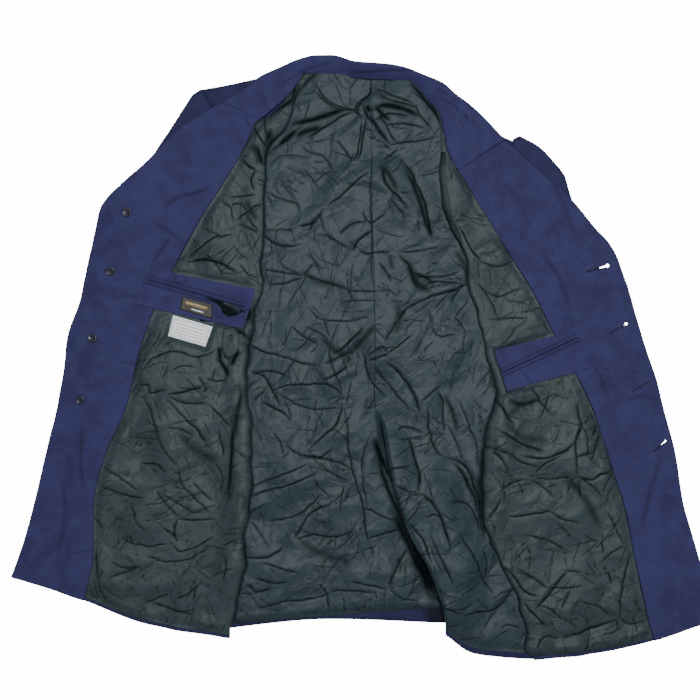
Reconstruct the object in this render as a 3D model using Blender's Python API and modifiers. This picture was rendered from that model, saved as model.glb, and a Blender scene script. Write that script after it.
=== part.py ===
"""A single-breasted dress uniform jacket, laid open on its back with the inside up.

The cloth is a set of cut panels with real walls. The back and the sleeves lie on the floor,
the side panels fold back over the back panels, and the fronts are opened out over the sleeves.
Every panel is lofted through a short table: one row for each level from hem to neck, one
column for each line that a cutter would chalk. Tables are in millimetres, seen from above,
with +X towards the wearer's left and +Y towards the neck. The wearer's right front is at -X.
"""
import math

import bmesh
import bpy
import numpy as np
from mathutils import Matrix, Vector
from mathutils.bvhtree import BVHTree

MM = 0.001

# Cloth walls and the gap that two pieces keep where they are sewn together
SHELL_WALL = 1.5
FACING_WALL = 1.2
LINING_WALL = 1.0
COLLAR_WALL = 2.0
LABEL_WALL = 1.0
GAP = 0.3

# Heights above the cloth's outer face at which each layer starts
INNER_LAYER = SHELL_WALL + GAP
LAYERS = INNER_LAYER + LINING_WALL
POCKET_LAYER = INNER_LAYER + FACING_WALL + GAP
LABEL_ON_POCKET = POCKET_LAYER + FACING_WALL + GAP
SLACK = 0.25

# The side fold: back panel below, side panel turned back over it, front on top
BACK_STACK = LAYERS + GAP
SIDE_OUTER_FACE = BACK_STACK + LAYERS
SIDE_FOLD_RADIUS = SIDE_OUTER_FACE / 2
SIDE_SEAM_RUN = 8.0
SIDE_SEAM_GAP = 0.9
# The lining goes on under the side fold, further at the hem than at the neck
LINING_RETURN = 16.0
RETURN_AT_HEM = 2.6
RETURN_AT_NECK = 0.3
UNDER_FOLD_ANGLES = (45, 0, -45, -90)
AROUND_SEAM_ANGLES = (90, 45, 0, -45, -90)
LINING_UNDER_FRONT = 26.0
LINING_HEM_SHARE = 0.25
FOLD_BLEND = 34.0
UNDERARM_Y = 98.0
VENT_TOP = -50.0

# The flattened sleeves under the fronts
SLEEVE_HEIGHT = 5.4
OVER_SLEEVE = SLEEVE_HEIGHT + 0.9
SLEEVE_RAMP = 26.0
# The row of a sleeve's table where its crown starts
CROWN_ROW = 7
# How many ramps before the sleeve's and the side panel's edge a front has reached full height
SLEEVE_LEAD = 1.5
SIDE_LEAD = 1.6

# Buttons: four domed ones outside the right front, each with a small backing button inside
DOME_RADIUS = 11.0
DOME_RIM = 5.2
DOME_BACK = 5.8
DOME_LIP = 0.8
SHANK_RADIUS = 2.6
SHANK_TOP = 7.8
BACKING_RADIUS = 6.7
BACKING_THICKNESS = 2.4
BACKING_WELL = 0.9
THREAD_HOLE_RADIUS = 0.9
THREAD_HOLE_PITCH = 2.6
BUTTON_CLEARANCE = 0.6
BUTTON_SPREAD = 48.0

# Keyhole buttonholes through the left front
HOLE_WIDTH = 2.4
EYELET_RADIUS = 1.9
CUT_DEPTH = 30.0

# Inside breast pockets
POCKET_OVERLAP = 30.0
POCKET_MARGIN = 5.0
POCKET_SLIT = 2.2
WELT_WIDTH = 4.0
WELT_RISE = 0.8

# How finely the pieces are divided
ROW_STEP = 34.0
COLLAR_STEP = 26.0
POCKET_COLUMNS = 9
SLEEVE_BODY_ROWS = 6
TURN_STEPS = 14
DOME_STEPS = 3
HOLE_STEPS = 5
EYELET_STEPS = 7

# Colours
NAVY = (0.030, 0.036, 0.090)
NAVY_OUTSIDE = (0.026, 0.031, 0.078)
SATIN = (0.050, 0.067, 0.075)
SATIN_FRONT = (0.044, 0.060, 0.066)
BRASS = (0.55, 0.42, 0.18)
BUTTON_DARK = (0.02, 0.022, 0.04)
LABEL_DARK = (0.02, 0.017, 0.014)
LABEL_PALE = (0.55, 0.58, 0.62)

# Roughness of each kind of surface
WOOL_ROUGH = 0.85
SATIN_ROUGH = 0.4
LABEL_ROUGH = 0.6
BRASS_ROUGH = 0.3
BUTTON_ROUGH = 0.35

# Fronts. Columns: front edge, button line, facing seam, middle of the lining, side fold (x, y
# each), then the radius of the side fold. Rows run from the hem to the neck.
FRONT_RIGHT = [
    # edge        button line   facing seam   middle        side fold     fold radius
    (-495, -307, -460, -318, -394, -340, -302, -374, -187, -391, 2.0),
    (-475, -248, -441, -259, -380, -278, -288, -307, -178, -326, 3.0),
    (-458, -181, -424, -190, -379, -206, -288, -227, -170, -248, 3.5),
    (-442, -114, -409, -122, -363, -136, -274, -158, -163, -174, 4.0),
    (-427, -54, -397, -59, -335, -72, -253, -90, -163, -105, 3.5),
    (-414, 32, -380, 27, -314, 13, -243, -6, -168, -20, 2.5),
    (-400, 74, -366, 75, -292, 74, -225, 54, -160, 37, 2.0),
    (-394, 98, -360, 100, -279, 102, -215, 83, -152, 64, 2.0),
    (-388, 122, -355, 120, -267, 125, -206, 108, -145, 93, 2.0),
    (-379, 172, -342, 168, -246, 164, -195, 150, -144, 150, 2.0),
    (-369, 208, -332, 202, -222, 206, -181, 203, -142, 203, 2.0),
    (-302, 276, -274, 272, -183, 267, -162, 262, -141, 260, 2.0),
    (-253, 323, -231, 318, -164, 302, -149, 299, -134, 298, 1.6),
    (-218, 344, -200, 340, -153, 327, -131, 328, -110, 330, 1.2),
    (-200, 354, -185, 349, -145, 333, -115, 354, -91, 384, 1.0),
]
FRONT_LEFT = [
    (495, -366, 470, -373, 404, -396, 314, -415, 233, -421, 2.0),
    (477, -316, 452, -322, 388, -340, 300, -354, 216, -346, 2.5),
    (458, -253, 434, -259, 374, -274, 286, -286, 188, -284, 3.0),
    (442, -195, 418, -201, 362, -214, 272, -220, 163, -216, 3.5),
    (432, -131, 408, -135, 341, -146, 265, -150, 169, -144, 3.5),
    (416, -69, 392, -71, 318, -76, 251, -76, 183, -62, 3.0),
    (400, -13, 376, -13, 288, -13, 237, -33, 188, -50, 2.0),
    (391, 14, 367, 16, 272, 18, 226, -3, 180, -21, 2.0),
    (384, 37, 360, 37, 260, 37, 216, 20, 170, 8, 2.0),
    (368, 88, 344, 88, 236, 86, 195, 80, 149, 80, 2.0),
    (346, 146, 322, 146, 200, 145, 170, 142, 138, 142, 2.0),
    (314, 186, 292, 188, 172, 191, 146, 190, 118, 191, 2.0),
    (290, 216, 268, 218, 152, 223, 132, 223, 110, 223, 1.6),
    (244, 257, 226, 256, 136, 250, 124, 252, 108, 254, 1.2),
    (195, 302, 180, 294, 128, 261, 117, 274, 107, 290, 1.0),
]
FRONT_STEPS = (2, 3, 3, 3)
SEAM_COLUMN = 5
POCKET_ROWS = (6, 8)

# Backs, outer cloth. Columns: centre seam and vent, middle, side seam and armhole.
BACK_RIGHT = [
    # centre     middle       side
    (118, -372, -50, -366, -237, -384),
    (98, -304, -75, -307, -223, -312),
    (67, -234, -78, -241, -215, -248),
    (46, -172, -85, -186, -204, -192),
    (22, -108, -92, -130, -195, -130),
    (12, -59, -92, -59, -190, -59),
    (13, 10, -92, 10, -184, 10),
    (12, 94, -92, 94, -178, 102),
    (10, 158, -92, 158, -178, 158),
    (9, 220, -92, 220, -176, 214),
    (8, 290, -92, 290, -187, 276),
    (8, 346, -92, 344, -201, 326),
    (6, 391, -72, 399, -225, 369),
]
BACK_STEPS = (2, 2)

# The left back is one table for its cloth and its lining, because it rises off the floor in
# a soft fold along the vent. Columns: centre seam and vent fold, middle, end of the lining, side.
BACK_LEFT = [
    # centre     middle       lining end   side
    (111, -386, 152, -414, 236, -422, 267, -418),
    (111, -379, 152, -406, 236, -414, 266, -410),
    (106, -346, 172, -364, 232, -362, 258, -358),
    (90, -300, 150, -307, 214, -304, 246, -302),
    (57, -234, 120, -241, 191, -238, 230, -238),
    (37, -172, 105, -180, 184, -176, 219, -178),
    (26, -113, 108, -118, 196, -112, 214, -115),
    (14, -59, 108, -59, 196, -54, 209, -52),
    (14, 10, 104, 10, 186, 16, 206, 18),
    (13, 94, 90, 94, 170, 90, 205, 88),
    (12, 150, 86, 150, 156, 140, 200, 120),
    (10, 214, 70, 214, 134, 205, 191, 164),
    (9, 276, 66, 272, 127, 256, 188, 214),
    (9, 340, 60, 330, 120, 300, 195, 262),
    (8, 391, 60, 384, 102, 345, 205, 302),
]
BACK_LEFT_STEPS = (5, 4, 1)
LEFT_LINING_END = 9

# The right back lining. Columns: centre seam and vent edge, middle, end under the side fold.
LINING_BACK_RIGHT = [
    # centre     middle       end
    (74, -344, -50, -355, -201, -365),
    (62, -290, -64, -300, -195, -309),
    (43, -220, -69, -230, -190, -237),
    (27, -178, -75, -181, -183, -174),
    (12, -115, -78, -115, -184, -99),
    (12, -59, -80, -59, -188, -31),
    (13, 10, -83, 13, -180, 37),
    (12, 94, -78, 94, -163, 93),
    (10, 158, -75, 158, -162, 150),
    (9, 220, -75, 220, -160, 209),
    (8, 290, -71, 290, -156, 270),
    (8, 346, -61, 344, -128, 324),
    (6, 391, -50, 397, -92, 399),
]
LINING_STEPS = (5, 5)
LINING_LOFT = 2.2
LOFT_REACH = 30.0

# Sleeves, pressed flat. Columns: outer side, inner side. Rows run from the cuff to the crown.
SLEEVE_RIGHT = [
    # outer       inner
    (-394, -286, -262, -300),
    (-388, -200, -234, -211),
    (-383, -130, -220, -138),
    (-374, -59, -208, -65),
    (-362, 18, -201, 10),
    (-337, 115, -192, 97),
    (-317, 200, -180, 156),
    (-307, 239, -178, 212),
    (-298, 279, -189, 271),
    (-274, 318, -201, 318),
    (-246, 366, -224, 361),
]
SLEEVE_LEFT = [
    (396, -318, 264, -328),
    (387, -200, 240, -206),
    (382, -115, 230, -122),
    (370, -31, 223, -36),
    (352, 31, 221, 24),
    (334, 102, 220, 85),
    (317, 155, 208, 120),
    (300, 192, 193, 164),
    (286, 230, 190, 208),
    (279, 254, 193, 240),
    (266, 271, 198, 262),
    (243, 295, 206, 284),
    (226, 309, 212, 302),
]

# How a sleeve's section turns down to the floor. Columns: inset from its edge, height.
SLEEVE_EDGE = [(0.0, 0.0), (0.0, 2.6), (1.8, 4.5), (7.0, SLEEVE_HEIGHT)]
SLEEVE_MIDDLE_STEPS = 3

# Collar, from the right lapel round the neck to the left lapel. Columns: outer line, neck seam,
# height at the neck seam, height of the roll, height of the fall that is folded underneath.
COLLAR = [
    # outer     neck seam   seam  roll  fall
    (-197, 355, -144, 337, 9.4, 10.6, 4.2),
    (-169, 374, -113, 360, 9.4, 12.0, 3.4),
    (-150, 390, -92, 386, 8.0, 13.5, 2.6),
    (-120, 404, -86, 397, 6.5, 15.0, 2.2),
    (-92, 416, -72, 397, 5.6, 16.0, 1.6),
    (-69, 421, -54, 394, 5.2, 17.5, 0.0),
    (-48, 421, -34, 392, 5.2, 19.0, 0.0),
    (-15, 412, -8, 389, 5.2, 20.0, 0.0),
    (9, 410, 12, 388, 5.2, 20.0, 0.0),
    (34, 408, 37, 387, 5.2, 20.0, 0.0),
    (54, 404, 60, 385, 5.4, 19.0, 0.0),
    (83, 393, 77, 371, 5.8, 17.5, 1.8),
    (107, 383, 91, 355, 6.0, 16.5, 2.2),
    (125, 368, 104, 338, 7.0, 15.5, 2.2),
    (144, 354, 109, 315, 8.0, 14.0, 2.6),
    (166, 334, 114, 290, 9.0, 12.5, 3.4),
    (192, 304, 129, 266, 9.4, 10.6, 4.2),
]
# Its section. Columns: place from the neck seam to the outer line, then the shares of the
# neck seam's, the roll's and the fall's height.
COLLAR_SECTION = [
    # place  seam  roll  fall
    (0.00, 1.00, 0.00, 0.00),
    (0.28, 0.55, 0.45, 0.00),
    (0.58, 0.20, 0.80, 0.00),
    (0.82, 0.00, 1.00, 0.00),
    (0.95, 0.00, 0.84, 0.16),
    (1.00, 0.00, 0.50, 0.50),
    (0.95, 0.00, 0.12, 0.88),
    (0.80, 0.00, 0.00, 1.00),
    (0.45, 0.00, 0.00, 1.00),
]

# Largest folds. Columns: start x, y, end x, y, width, height.
BACK_FOLDS = [
    (0, 260, -75, 181, 34, 6),
    (-145, 125, -29, 99, 34, 5),
    (-150, 16, -57, -15, 34, 6),
    (-124, -41, -57, -38, 32, 5),
    (-29, -67, -83, -130, 34, 6),
    (-150, -190, -66, -158, 36, 5),
    (-160, -280, -100, -298, 34, 5),
    (-99, -253, -52, -207, 34, 6),
    (30, 262, 60, 205, 34, 6),
    (80, 222, 96, 160, 32, 6),
    (140, 106, 48, 66, 36, 6),
    (40, 0, 84, -60, 34, 6),
    (86, -80, 106, -140, 34, 6),
    (134, -67, 150, -160, 34, 6),
]
VENT_FOLDS = [
    (28, -128, 111, -387, 42, 7),
    (54, -150, 112, -330, 70, 15),
    (98, -190, 138, -300, 40, 9),
    (128, -350, 165, -390, 34, 6),
]
FRONT_FOLDS = [
    (-292, -88, -230, -205, 36, 5),
    (-345, -170, -300, -175, 30, 4),
    (-330, -235, -270, -270, 36, 4),
    (200, -126, 262, -136, 36, 5),
    (286, -60, 292, -150, 34, 5),
    (292, -150, 344, -180, 34, 4),
    (214, -200, 290, -226, 36, 4),
    (240, -262, 310, -316, 38, 4),
]

# Places of the buttons and of the buttonholes' ends
BUTTONS = [(-332, 202), (-355, 120), (-380, 27), (-397, -59)]
BUTTONHOLES = [
    # inner end, eyelet
    (307, 119, 337, 128),
    (342, 34, 363, 47),
    (372, -47, 393, -34),
    (401, -131, 419, -117),
]
# Pocket slits: from the side fold's end to the end on the facing
SLIT_RIGHT = (-168, 70, -302, 108)
SLIT_LEFT = (197, -14, 296, 28)
# Bare labels by their corners
LABEL_POCKET = [(-255, 85), (-213, 74), (-214, 54), (-258, 67)]
LABEL_CARE = [(-268, 59), (-213, 43), (-223, 15), (-275, 30)]


def slopes(knots, values):
    """Slopes at the knots that keep a smooth curve from swinging past its points."""
    steps = np.diff(knots).reshape(-1, *[1] * (values.ndim - 1))
    rise = np.diff(values, axis=0) / steps
    same = rise[1:] * rise[:-1] > 0
    total = np.where(same, rise[1:] + rise[:-1], 1.0)
    inner = np.where(same, 2 * rise[1:] * rise[:-1] / total, 0.0)
    return np.concatenate([rise[:1], inner, rise[-1:]])


def refine(points, counts):
    """Smooth rows through a table's rows, with counts[i] steps between rows i and i + 1."""
    spans = np.linalg.norm(np.diff(points[..., :2], axis=0), axis=-1)
    knots = np.concatenate([[0.0], np.cumsum(spans.reshape(len(spans), -1).mean(axis=1))])
    pieces = [np.linspace(knots[i], knots[i + 1], n, endpoint=False) for i, n in enumerate(counts)]
    stops = np.concatenate(pieces + [knots[-1:]])
    slope = slopes(knots, points)
    i = np.clip(np.searchsorted(knots, stops, side="right") - 1, 0, len(counts) - 1)
    width = (knots[i + 1] - knots[i]).reshape(-1, *[1] * (points.ndim - 1))
    u = (stops - knots[i]).reshape(width.shape) / width
    start = (1 + 2 * u) * (1 - u) ** 2 * points[i] + u * (1 - u) ** 2 * width * slope[i]
    end = u * u * (3 - 2 * u) * points[i + 1] + u * u * (u - 1) * width * slope[i + 1]
    return start + end


def row_counts(points, step=ROW_STEP):
    """How many steps of about the given length fit between the rows of a table."""
    spans = np.linalg.norm(np.diff(points[..., :2], axis=0), axis=-1).mean(axis=1)
    return [max(1, round(span / step)) for span in spans]


def panel(table, columns, steps):
    """A grid of (x, y) through a table: rows from hem to neck, steps between its columns."""
    points = np.array(table, float)[:, : 2 * columns].reshape(len(table), columns, 2)
    rows = refine(points, row_counts(points))
    return refine(rows.swapaxes(0, 1), steps).swapaxes(0, 1)


def smooth(value):
    """A soft step from 0 to 1."""
    value = np.clip(value, 0.0, 1.0)
    return value * value * (3 - 2 * value)


def folds(x, y, table):
    """Height of the soft folds in a table at each point."""
    height = np.zeros_like(x)
    for x0, y0, x1, y1, width, rise in table:
        span = (x1 - x0) ** 2 + (y1 - y0) ** 2
        place = np.clip(((x - x0) * (x1 - x0) + (y - y0) * (y1 - y0)) / span, 0, 1)
        away = np.hypot(x - x0 - place * (x1 - x0), y - y0 - place * (y1 - y0))
        height = height + rise * smooth(1 - away / width)
    return height


def normals(points, side=1):
    """Directions from the cloth's outer face towards its inside, at each point of a grid."""
    across = np.gradient(points, axis=1)
    upward = np.gradient(points, axis=0)
    normal = side * np.cross(across, upward)
    return normal / np.linalg.norm(normal, axis=-1, keepdims=True)


def moved(points, normal, offset):
    """The same points moved out along their normals; offset may differ from point to point."""
    return points + normal * np.asarray(offset, float)[..., None]


def material_of(name, colour, roughness, metallic=0.0):
    material = bpy.data.materials.new(name)
    material.use_nodes = True
    shader = material.node_tree.nodes["Principled BSDF"]
    shader.inputs["Base Color"].default_value = (*colour, 1.0)
    shader.inputs["Roughness"].default_value = roughness
    shader.inputs["Metallic"].default_value = metallic
    return material


def add_object(name, mesh, collection, colour, roughness, metallic=0.0):
    """A named object with its own material, in the jacket's collection."""
    mesh.materials.append(material_of(name, colour, roughness, metallic))
    piece = bpy.data.objects.new(name, mesh)
    collection.objects.link(piece)
    return piece


def wall(name, low, high, collection, colour, roughness):
    """A closed cloth wall between two grids of the same size, in millimetres."""
    rows, columns = low.shape[:2]
    corner = np.arange(rows * columns).reshape(rows, columns)
    a, b = corner[:-1, :-1].ravel(), corner[:-1, 1:].ravel()
    c, d = corner[1:, 1:].ravel(), corner[1:, :-1].ravel()
    upper = np.concatenate([np.stack([a, b, c], 1), np.stack([a, c, d], 1)])
    rim = np.concatenate([corner[0, :], corner[1:, -1], corner[-1, -2::-1], corner[-2:0:-1, 0]])
    after = np.roll(rim, -1)
    top = rows * columns
    sides = np.concatenate(
        [np.stack([rim, after, after + top], 1), np.stack([rim, after + top, rim + top], 1)]
    )
    faces = np.concatenate([upper[:, ::-1], upper + top, sides])
    points = np.concatenate([low.reshape(-1, 3), high.reshape(-1, 3)]) * MM
    mesh = bpy.data.meshes.new(name)
    mesh.from_pydata(points.tolist(), [], faces.tolist())
    shape = bmesh.new()
    shape.from_mesh(mesh)
    bmesh.ops.recalc_face_normals(shape, faces=shape.faces)
    shape.to_mesh(mesh)
    shape.free()
    return add_object(name, mesh, collection, colour, roughness)


def front_lift(x, y, sleeve, back, side):
    """Height of a front's outer face: on the sleeve and the side panel where they lie below."""
    outer = np.array(sleeve, float)[:, :2]
    seam = np.array(back, float)[:, -2:]
    sleeve_edge = np.interp(y, outer[:, 1], outer[:, 0])
    side_edge = np.interp(y, seam[:, 1], seam[:, 0]) - side * (SIDE_SEAM_RUN + SIDE_FOLD_RADIUS)
    on_sleeve = smooth(SLEEVE_LEAD + side * (x - sleeve_edge) / SLEEVE_RAMP)
    on_sleeve = on_sleeve * smooth((y - outer[0, 1] + 2 * SLEEVE_RAMP) / SLEEVE_RAMP)
    on_side = smooth(SIDE_LEAD + side * (x - side_edge) / SLEEVE_RAMP)
    on_crown = smooth((y - outer[CROWN_ROW, 1]) / SLEEVE_RAMP)
    return OVER_SLEEVE * np.maximum(np.maximum(on_sleeve, on_side), on_crown)


def button_lift(x, y):
    """How far the domed buttons below it push the right front up."""
    top = SHANK_TOP + BUTTON_CLEARANCE
    away = [np.hypot(x - bx, y - by) for bx, by in BUTTONS]
    return top * np.max([smooth(1 - d / BUTTON_SPREAD) for d in away], axis=0)


def turned(place, direction, radius, angles, foot):
    """Columns of points round a fold: out along direction and up from the height of its foot."""
    columns = []
    for angle in np.radians(angles):
        out = (radius * np.cos(angle))[:, None]
        columns.append(np.column_stack([place + direction * out, foot + radius * (1 + np.sin(angle))]))
    return columns


def front_grid(table, sleeve, back, side, over_buttons):
    """A front's outer face, from its edge to the side fold and round under it.

    Returns the points, the column at the top of the fold, and each row's inward direction.
    """
    lines = np.array(table, float)
    counts = row_counts(lines[:, :10].reshape(len(table), 5, 2))
    radius = refine(lines[:, 8:], counts)[:, 2]
    flat = panel(table, 5, FRONT_STEPS)
    inward = flat[:, -1] - flat[:, -2]
    inward /= np.linalg.norm(inward, axis=1, keepdims=True)
    flat[:, -1] -= inward * (LAYERS + radius)[:, None]
    lift = front_lift(flat[..., 0], flat[..., 1], sleeve, back, side)
    if over_buttons:
        lift = np.maximum(lift, button_lift(flat[..., 0], flat[..., 1]))
    fold_top = (SIDE_OUTER_FACE + 2 * radius)[:, None]
    to_fold = np.linalg.norm(flat - flat[:, -1:], axis=-1)
    height = lift + smooth(1 - to_fold / FOLD_BLEND) * (fold_top - lift)
    grid = np.concatenate([flat, height[..., None]], axis=2)
    under = turned(flat[:, -1], inward, radius, UNDER_FOLD_ANGLES, SIDE_OUTER_FACE)
    share = np.minimum(1, np.linspace(RETURN_AT_HEM, RETURN_AT_NECK, len(radius)))
    end = flat[:, -1] - inward * (LINING_RETURN * share)[:, None]
    under.append(np.column_stack([end, np.full(len(end), SIDE_OUTER_FACE)]))
    return np.concatenate([grid, np.stack(under, axis=1)], axis=1), flat.shape[1] - 1, inward


def pulled(points, column, toward, distance):
    """A copy with one column moved a short way towards another, to leave the seam's gap."""
    points = points.copy()
    step = points[:, toward] - points[:, column]
    points[:, column] += step / np.linalg.norm(step, axis=1, keepdims=True) * distance
    return points


def side_panel(name, grid, apex, inward, seam, side, collection):
    """The side panel: from the side fold back below the front, down, and in to the back's seam."""
    rows = grid[:, apex, 1] < UNDERARM_Y
    fold = pulled(grid[rows, apex : apex + 3], 0, 1, GAP)
    inward = inward[rows]
    start = fold[:, -1, :2]
    seam_line = np.array(seam, float)[:, -2:]
    reach = np.zeros(len(start))
    for _ in range(4):
        level = start[:, 1] - inward[:, 1] * reach
        turn = np.interp(level, seam_line[:, 1], seam_line[:, 0]) - side * SIDE_SEAM_RUN
        reach = (start[:, 0] - turn) / inward[:, 0]
    half = start - inward * reach[:, None] / 2
    turn = start - inward * reach[:, None]
    columns = [np.column_stack([half, np.full(len(half), SIDE_OUTER_FACE)])]
    radius = np.full(len(turn), SIDE_FOLD_RADIUS)
    columns += turned(turn, -inward, radius, AROUND_SEAM_ANGLES, 0.0)
    end = turn + inward * (SIDE_SEAM_RUN - SIDE_SEAM_GAP)
    columns.append(np.column_stack([end, np.zeros(len(end))]))
    points = np.concatenate([fold, np.stack(columns, axis=1)], axis=1)
    inside = normals(points, side)
    wall(name, points, moved(points, inside, SHELL_WALL), collection, NAVY_OUTSIDE, WOOL_ROUGH)


def draped(grid, columns):
    """A test of height: how high a panel's outer face stands at a point seen from above."""
    rows = grid.shape[0]
    corner = np.arange(rows * columns).reshape(rows, columns)
    a, b = corner[:-1, :-1].ravel(), corner[:-1, 1:].ravel()
    c, d = corner[1:, 1:].ravel(), corner[1:, :-1].ravel()
    faces = np.concatenate([np.stack([a, b, c], 1), np.stack([a, c, d], 1)])
    points = grid[:, :columns].reshape(-1, 3)
    tree = BVHTree.FromPolygons(points.tolist(), faces.tolist())
    above = points[:, 2].max() + 1.0

    def height(x, y):
        down = Vector((0, 0, -1))
        spots = zip(np.ravel(x), np.ravel(y))
        levels = [tree.ray_cast(Vector((px, py, above)), down)[0].z for px, py in spots]
        return np.reshape(levels, np.shape(x))

    return height


def patch(name, plan, height, base, thickness, collection, colour, roughness, rise=0.0):
    """A flat piece on a panel: its plan is a grid, its base a height over the outer face."""
    low = np.concatenate([plan, (height(plan[..., 0], plan[..., 1]) + base)[..., None]], axis=2)
    high = low.copy()
    high[..., 2] += thickness + rise
    return wall(name, low, high, collection, colour, roughness)


def between(start, end, shares):
    """Points between two rows of points, one row for each share."""
    return np.stack([start + (end - start) * share for share in shares])


def inside_pocket(name, grid, counts, top, slit, height, collection, cutters):
    """A cloth band over lining and facing, with a slit between two raised welts."""
    first, last = (sum(counts[:row]) for row in POCKET_ROWS)
    edges = []
    for row in (first, last):
        seam, line = grid[row, SEAM_COLUMN, :2], grid[row, FRONT_STEPS[0], :2]
        fold, middle = grid[row, top, :2], grid[row, top - 1, :2]
        on_facing = seam + (line - seam) / np.linalg.norm(line - seam) * POCKET_OVERLAP
        by_fold = fold + (middle - fold) / np.linalg.norm(middle - fold) * POCKET_MARGIN
        edges.append((by_fold, on_facing))
    shares = np.linspace(0, 1, POCKET_COLUMNS)
    bottom, upper = (between(start, end, shares) for start, end in edges)
    inner_end, outer_end = np.array(slit[:2], float), np.array(slit[2:], float)
    run = (outer_end - inner_end) / np.linalg.norm(outer_end - inner_end)
    across = upper - bottom
    level = [(inner_end - low)[0] * run[1] - (inner_end - low)[1] * run[0] for low in bottom]
    drop = across[:, 0] * run[1] - across[:, 1] * run[0]
    middle = bottom + across * (np.array(level) / drop)[:, None]
    unit = across / np.linalg.norm(across, axis=1, keepdims=True)
    edge = POCKET_SLIT / 2 + WELT_WIDTH
    offsets = (-edge - WELT_RISE, -edge, 0, edge, edge + WELT_RISE)
    plan = np.stack([bottom, *(middle + unit * offset for offset in offsets), upper])
    on_slit = (middle - inner_end) @ run
    length = np.linalg.norm(outer_end - inner_end)
    inside = (on_slit > -WELT_WIDTH) & (on_slit < length + WELT_WIDTH)
    rise = np.zeros(plan.shape[:2])
    rise[2:5, inside] = WELT_RISE
    band = patch(
        name, plan, height, POCKET_LAYER + SLACK, FACING_WALL, collection, NAVY, WOOL_ROUGH, rise
    )
    outline = slot_outline(slit, POCKET_SLIT / 2, POCKET_SLIT / 2)
    cut(band, prism(name + "_slit", outline, cutters))


def slot_outline(ends, half_width, eye):
    """Outline of a slot from its plain end to its round end, which may be wider."""
    start, end = Vector(ends[:2]), Vector(ends[2:])
    along = (end - start).normalized()
    aside = Vector((-along.y, along.x))
    open_angle = math.asin(min(1.0, half_width / eye))
    turns = np.linspace(math.pi - open_angle, open_angle - math.pi, EYELET_STEPS)
    points = [start - aside * half_width, start + aside * half_width]
    return points[::-1] + [
        end + along * eye * math.cos(turn) - aside * eye * math.sin(turn) for turn in -turns
    ][::-1]


def prism(name, outline, cutters):
    """An upright cutter of the outline's shape."""
    shape = bmesh.new()
    corners = [shape.verts.new((p[0] * MM, p[1] * MM, -CUT_DEPTH * MM)) for p in outline]
    face = shape.faces.new(corners)
    raised = bmesh.ops.extrude_face_region(shape, geom=[face])["geom"]
    lifted = [part for part in raised if isinstance(part, bmesh.types.BMVert)]
    bmesh.ops.translate(shape, verts=lifted, vec=(0, 0, 2 * CUT_DEPTH * MM))
    bmesh.ops.recalc_face_normals(shape, faces=shape.faces)
    mesh = bpy.data.meshes.new(name)
    shape.to_mesh(mesh)
    shape.free()
    return add_cutter(name, mesh, cutters)


def add_cutter(name, mesh, cutters):
    cutter = bpy.data.objects.new(name, mesh)
    cutter.hide_render = True
    cutter.display_type = "WIRE"
    cutters.objects.link(cutter)
    return cutter


def cut(piece, cutter):
    modifier = piece.modifiers.new(cutter.name, "BOOLEAN")
    modifier.operation = "DIFFERENCE"
    modifier.solver = "EXACT"
    modifier.object = cutter


def inset_of(line, unit):
    """How far in from a sleeve's side line its wall ends, measured along the section."""
    tangent = np.gradient(line, axis=0)
    tangent /= np.linalg.norm(tangent, axis=1, keepdims=True)
    slant = np.abs(tangent[:, 0] * unit[:, 1] - tangent[:, 1] * unit[:, 0])
    return SHELL_WALL / slant + 1.5 * GAP


def sleeve(label, table, side, collection):
    """A two-piece sleeve pressed flat: the top sleeve arches over the under sleeve."""
    counts = [2] * SLEEVE_BODY_ROWS + [1] * (len(table) - 1 - SLEEVE_BODY_ROWS)
    lines = refine(np.array(table, float).reshape(-1, 2, 2), counts)
    outer, inner = lines[:, 0], lines[:, 1]
    width = np.linalg.norm(inner - outer, axis=1)
    unit = (inner - outer) / width[:, None]
    near = [(np.full(len(width), inset), height) for inset, height in SLEEVE_EDGE]
    shares = np.linspace(0, 1, SLEEVE_MIDDLE_STEPS + 1)[1:-1]
    last = SLEEVE_EDGE[-1][0]
    middle = [(last + (width - 2 * last) * share, SLEEVE_HEIGHT) for share in shares]
    far = [(width - inset, height) for inset, height in near[::-1]]
    columns = [
        np.column_stack([outer + unit * place[:, None], np.full(len(width), height)])
        for place, height in near + middle + far
    ]
    face = np.stack(columns, axis=1)
    inside = moved(face, normals(face, side), -SHELL_WALL)
    wall(f"top_sleeve_{label}", inside, face, collection, NAVY_OUTSIDE, WOOL_ROUGH)
    first, last = inset_of(outer, unit), width - inset_of(inner, unit)
    places = (first, (first + last) / 2, last)
    floor = np.stack(
        [np.column_stack([outer + unit * p[:, None], np.zeros(len(p))]) for p in places], axis=1
    )
    under = floor + np.array([0, 0, SHELL_WALL])
    wall(f"under_sleeve_{label}", floor, under, collection, NAVY_OUTSIDE, WOOL_ROUGH)


def loft_of(plan, ends, table):
    """How far the lining stands off the cloth: slack in the middle, tight at its seams."""
    to_centre = np.linalg.norm(plan - plan[:, :1], axis=-1)
    to_end = np.linalg.norm(plan - plan[:, -1:], axis=-1) - ends
    to_hem = np.linalg.norm(plan - plan[:1], axis=-1)
    to_neck = np.linalg.norm(plan - plan[-1:], axis=-1)
    fade = np.ones(plan.shape[:2])
    for away in (to_centre, to_end, to_hem, to_neck):
        fade = fade * smooth(away / LOFT_REACH)
    return fade * (LINING_LOFT + folds(plan[..., 0], plan[..., 1], table))


def sew_beside(plan, seam, gap):
    """Lays a panel's first column along the centre seam, from the top of the vent upwards."""
    sewn = plan[:, 0, 1] > VENT_TOP
    plan[sewn, 0, 0] = np.interp(plan[sewn, 0, 1], seam[:, 1], seam[:, 0]) + gap


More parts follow.
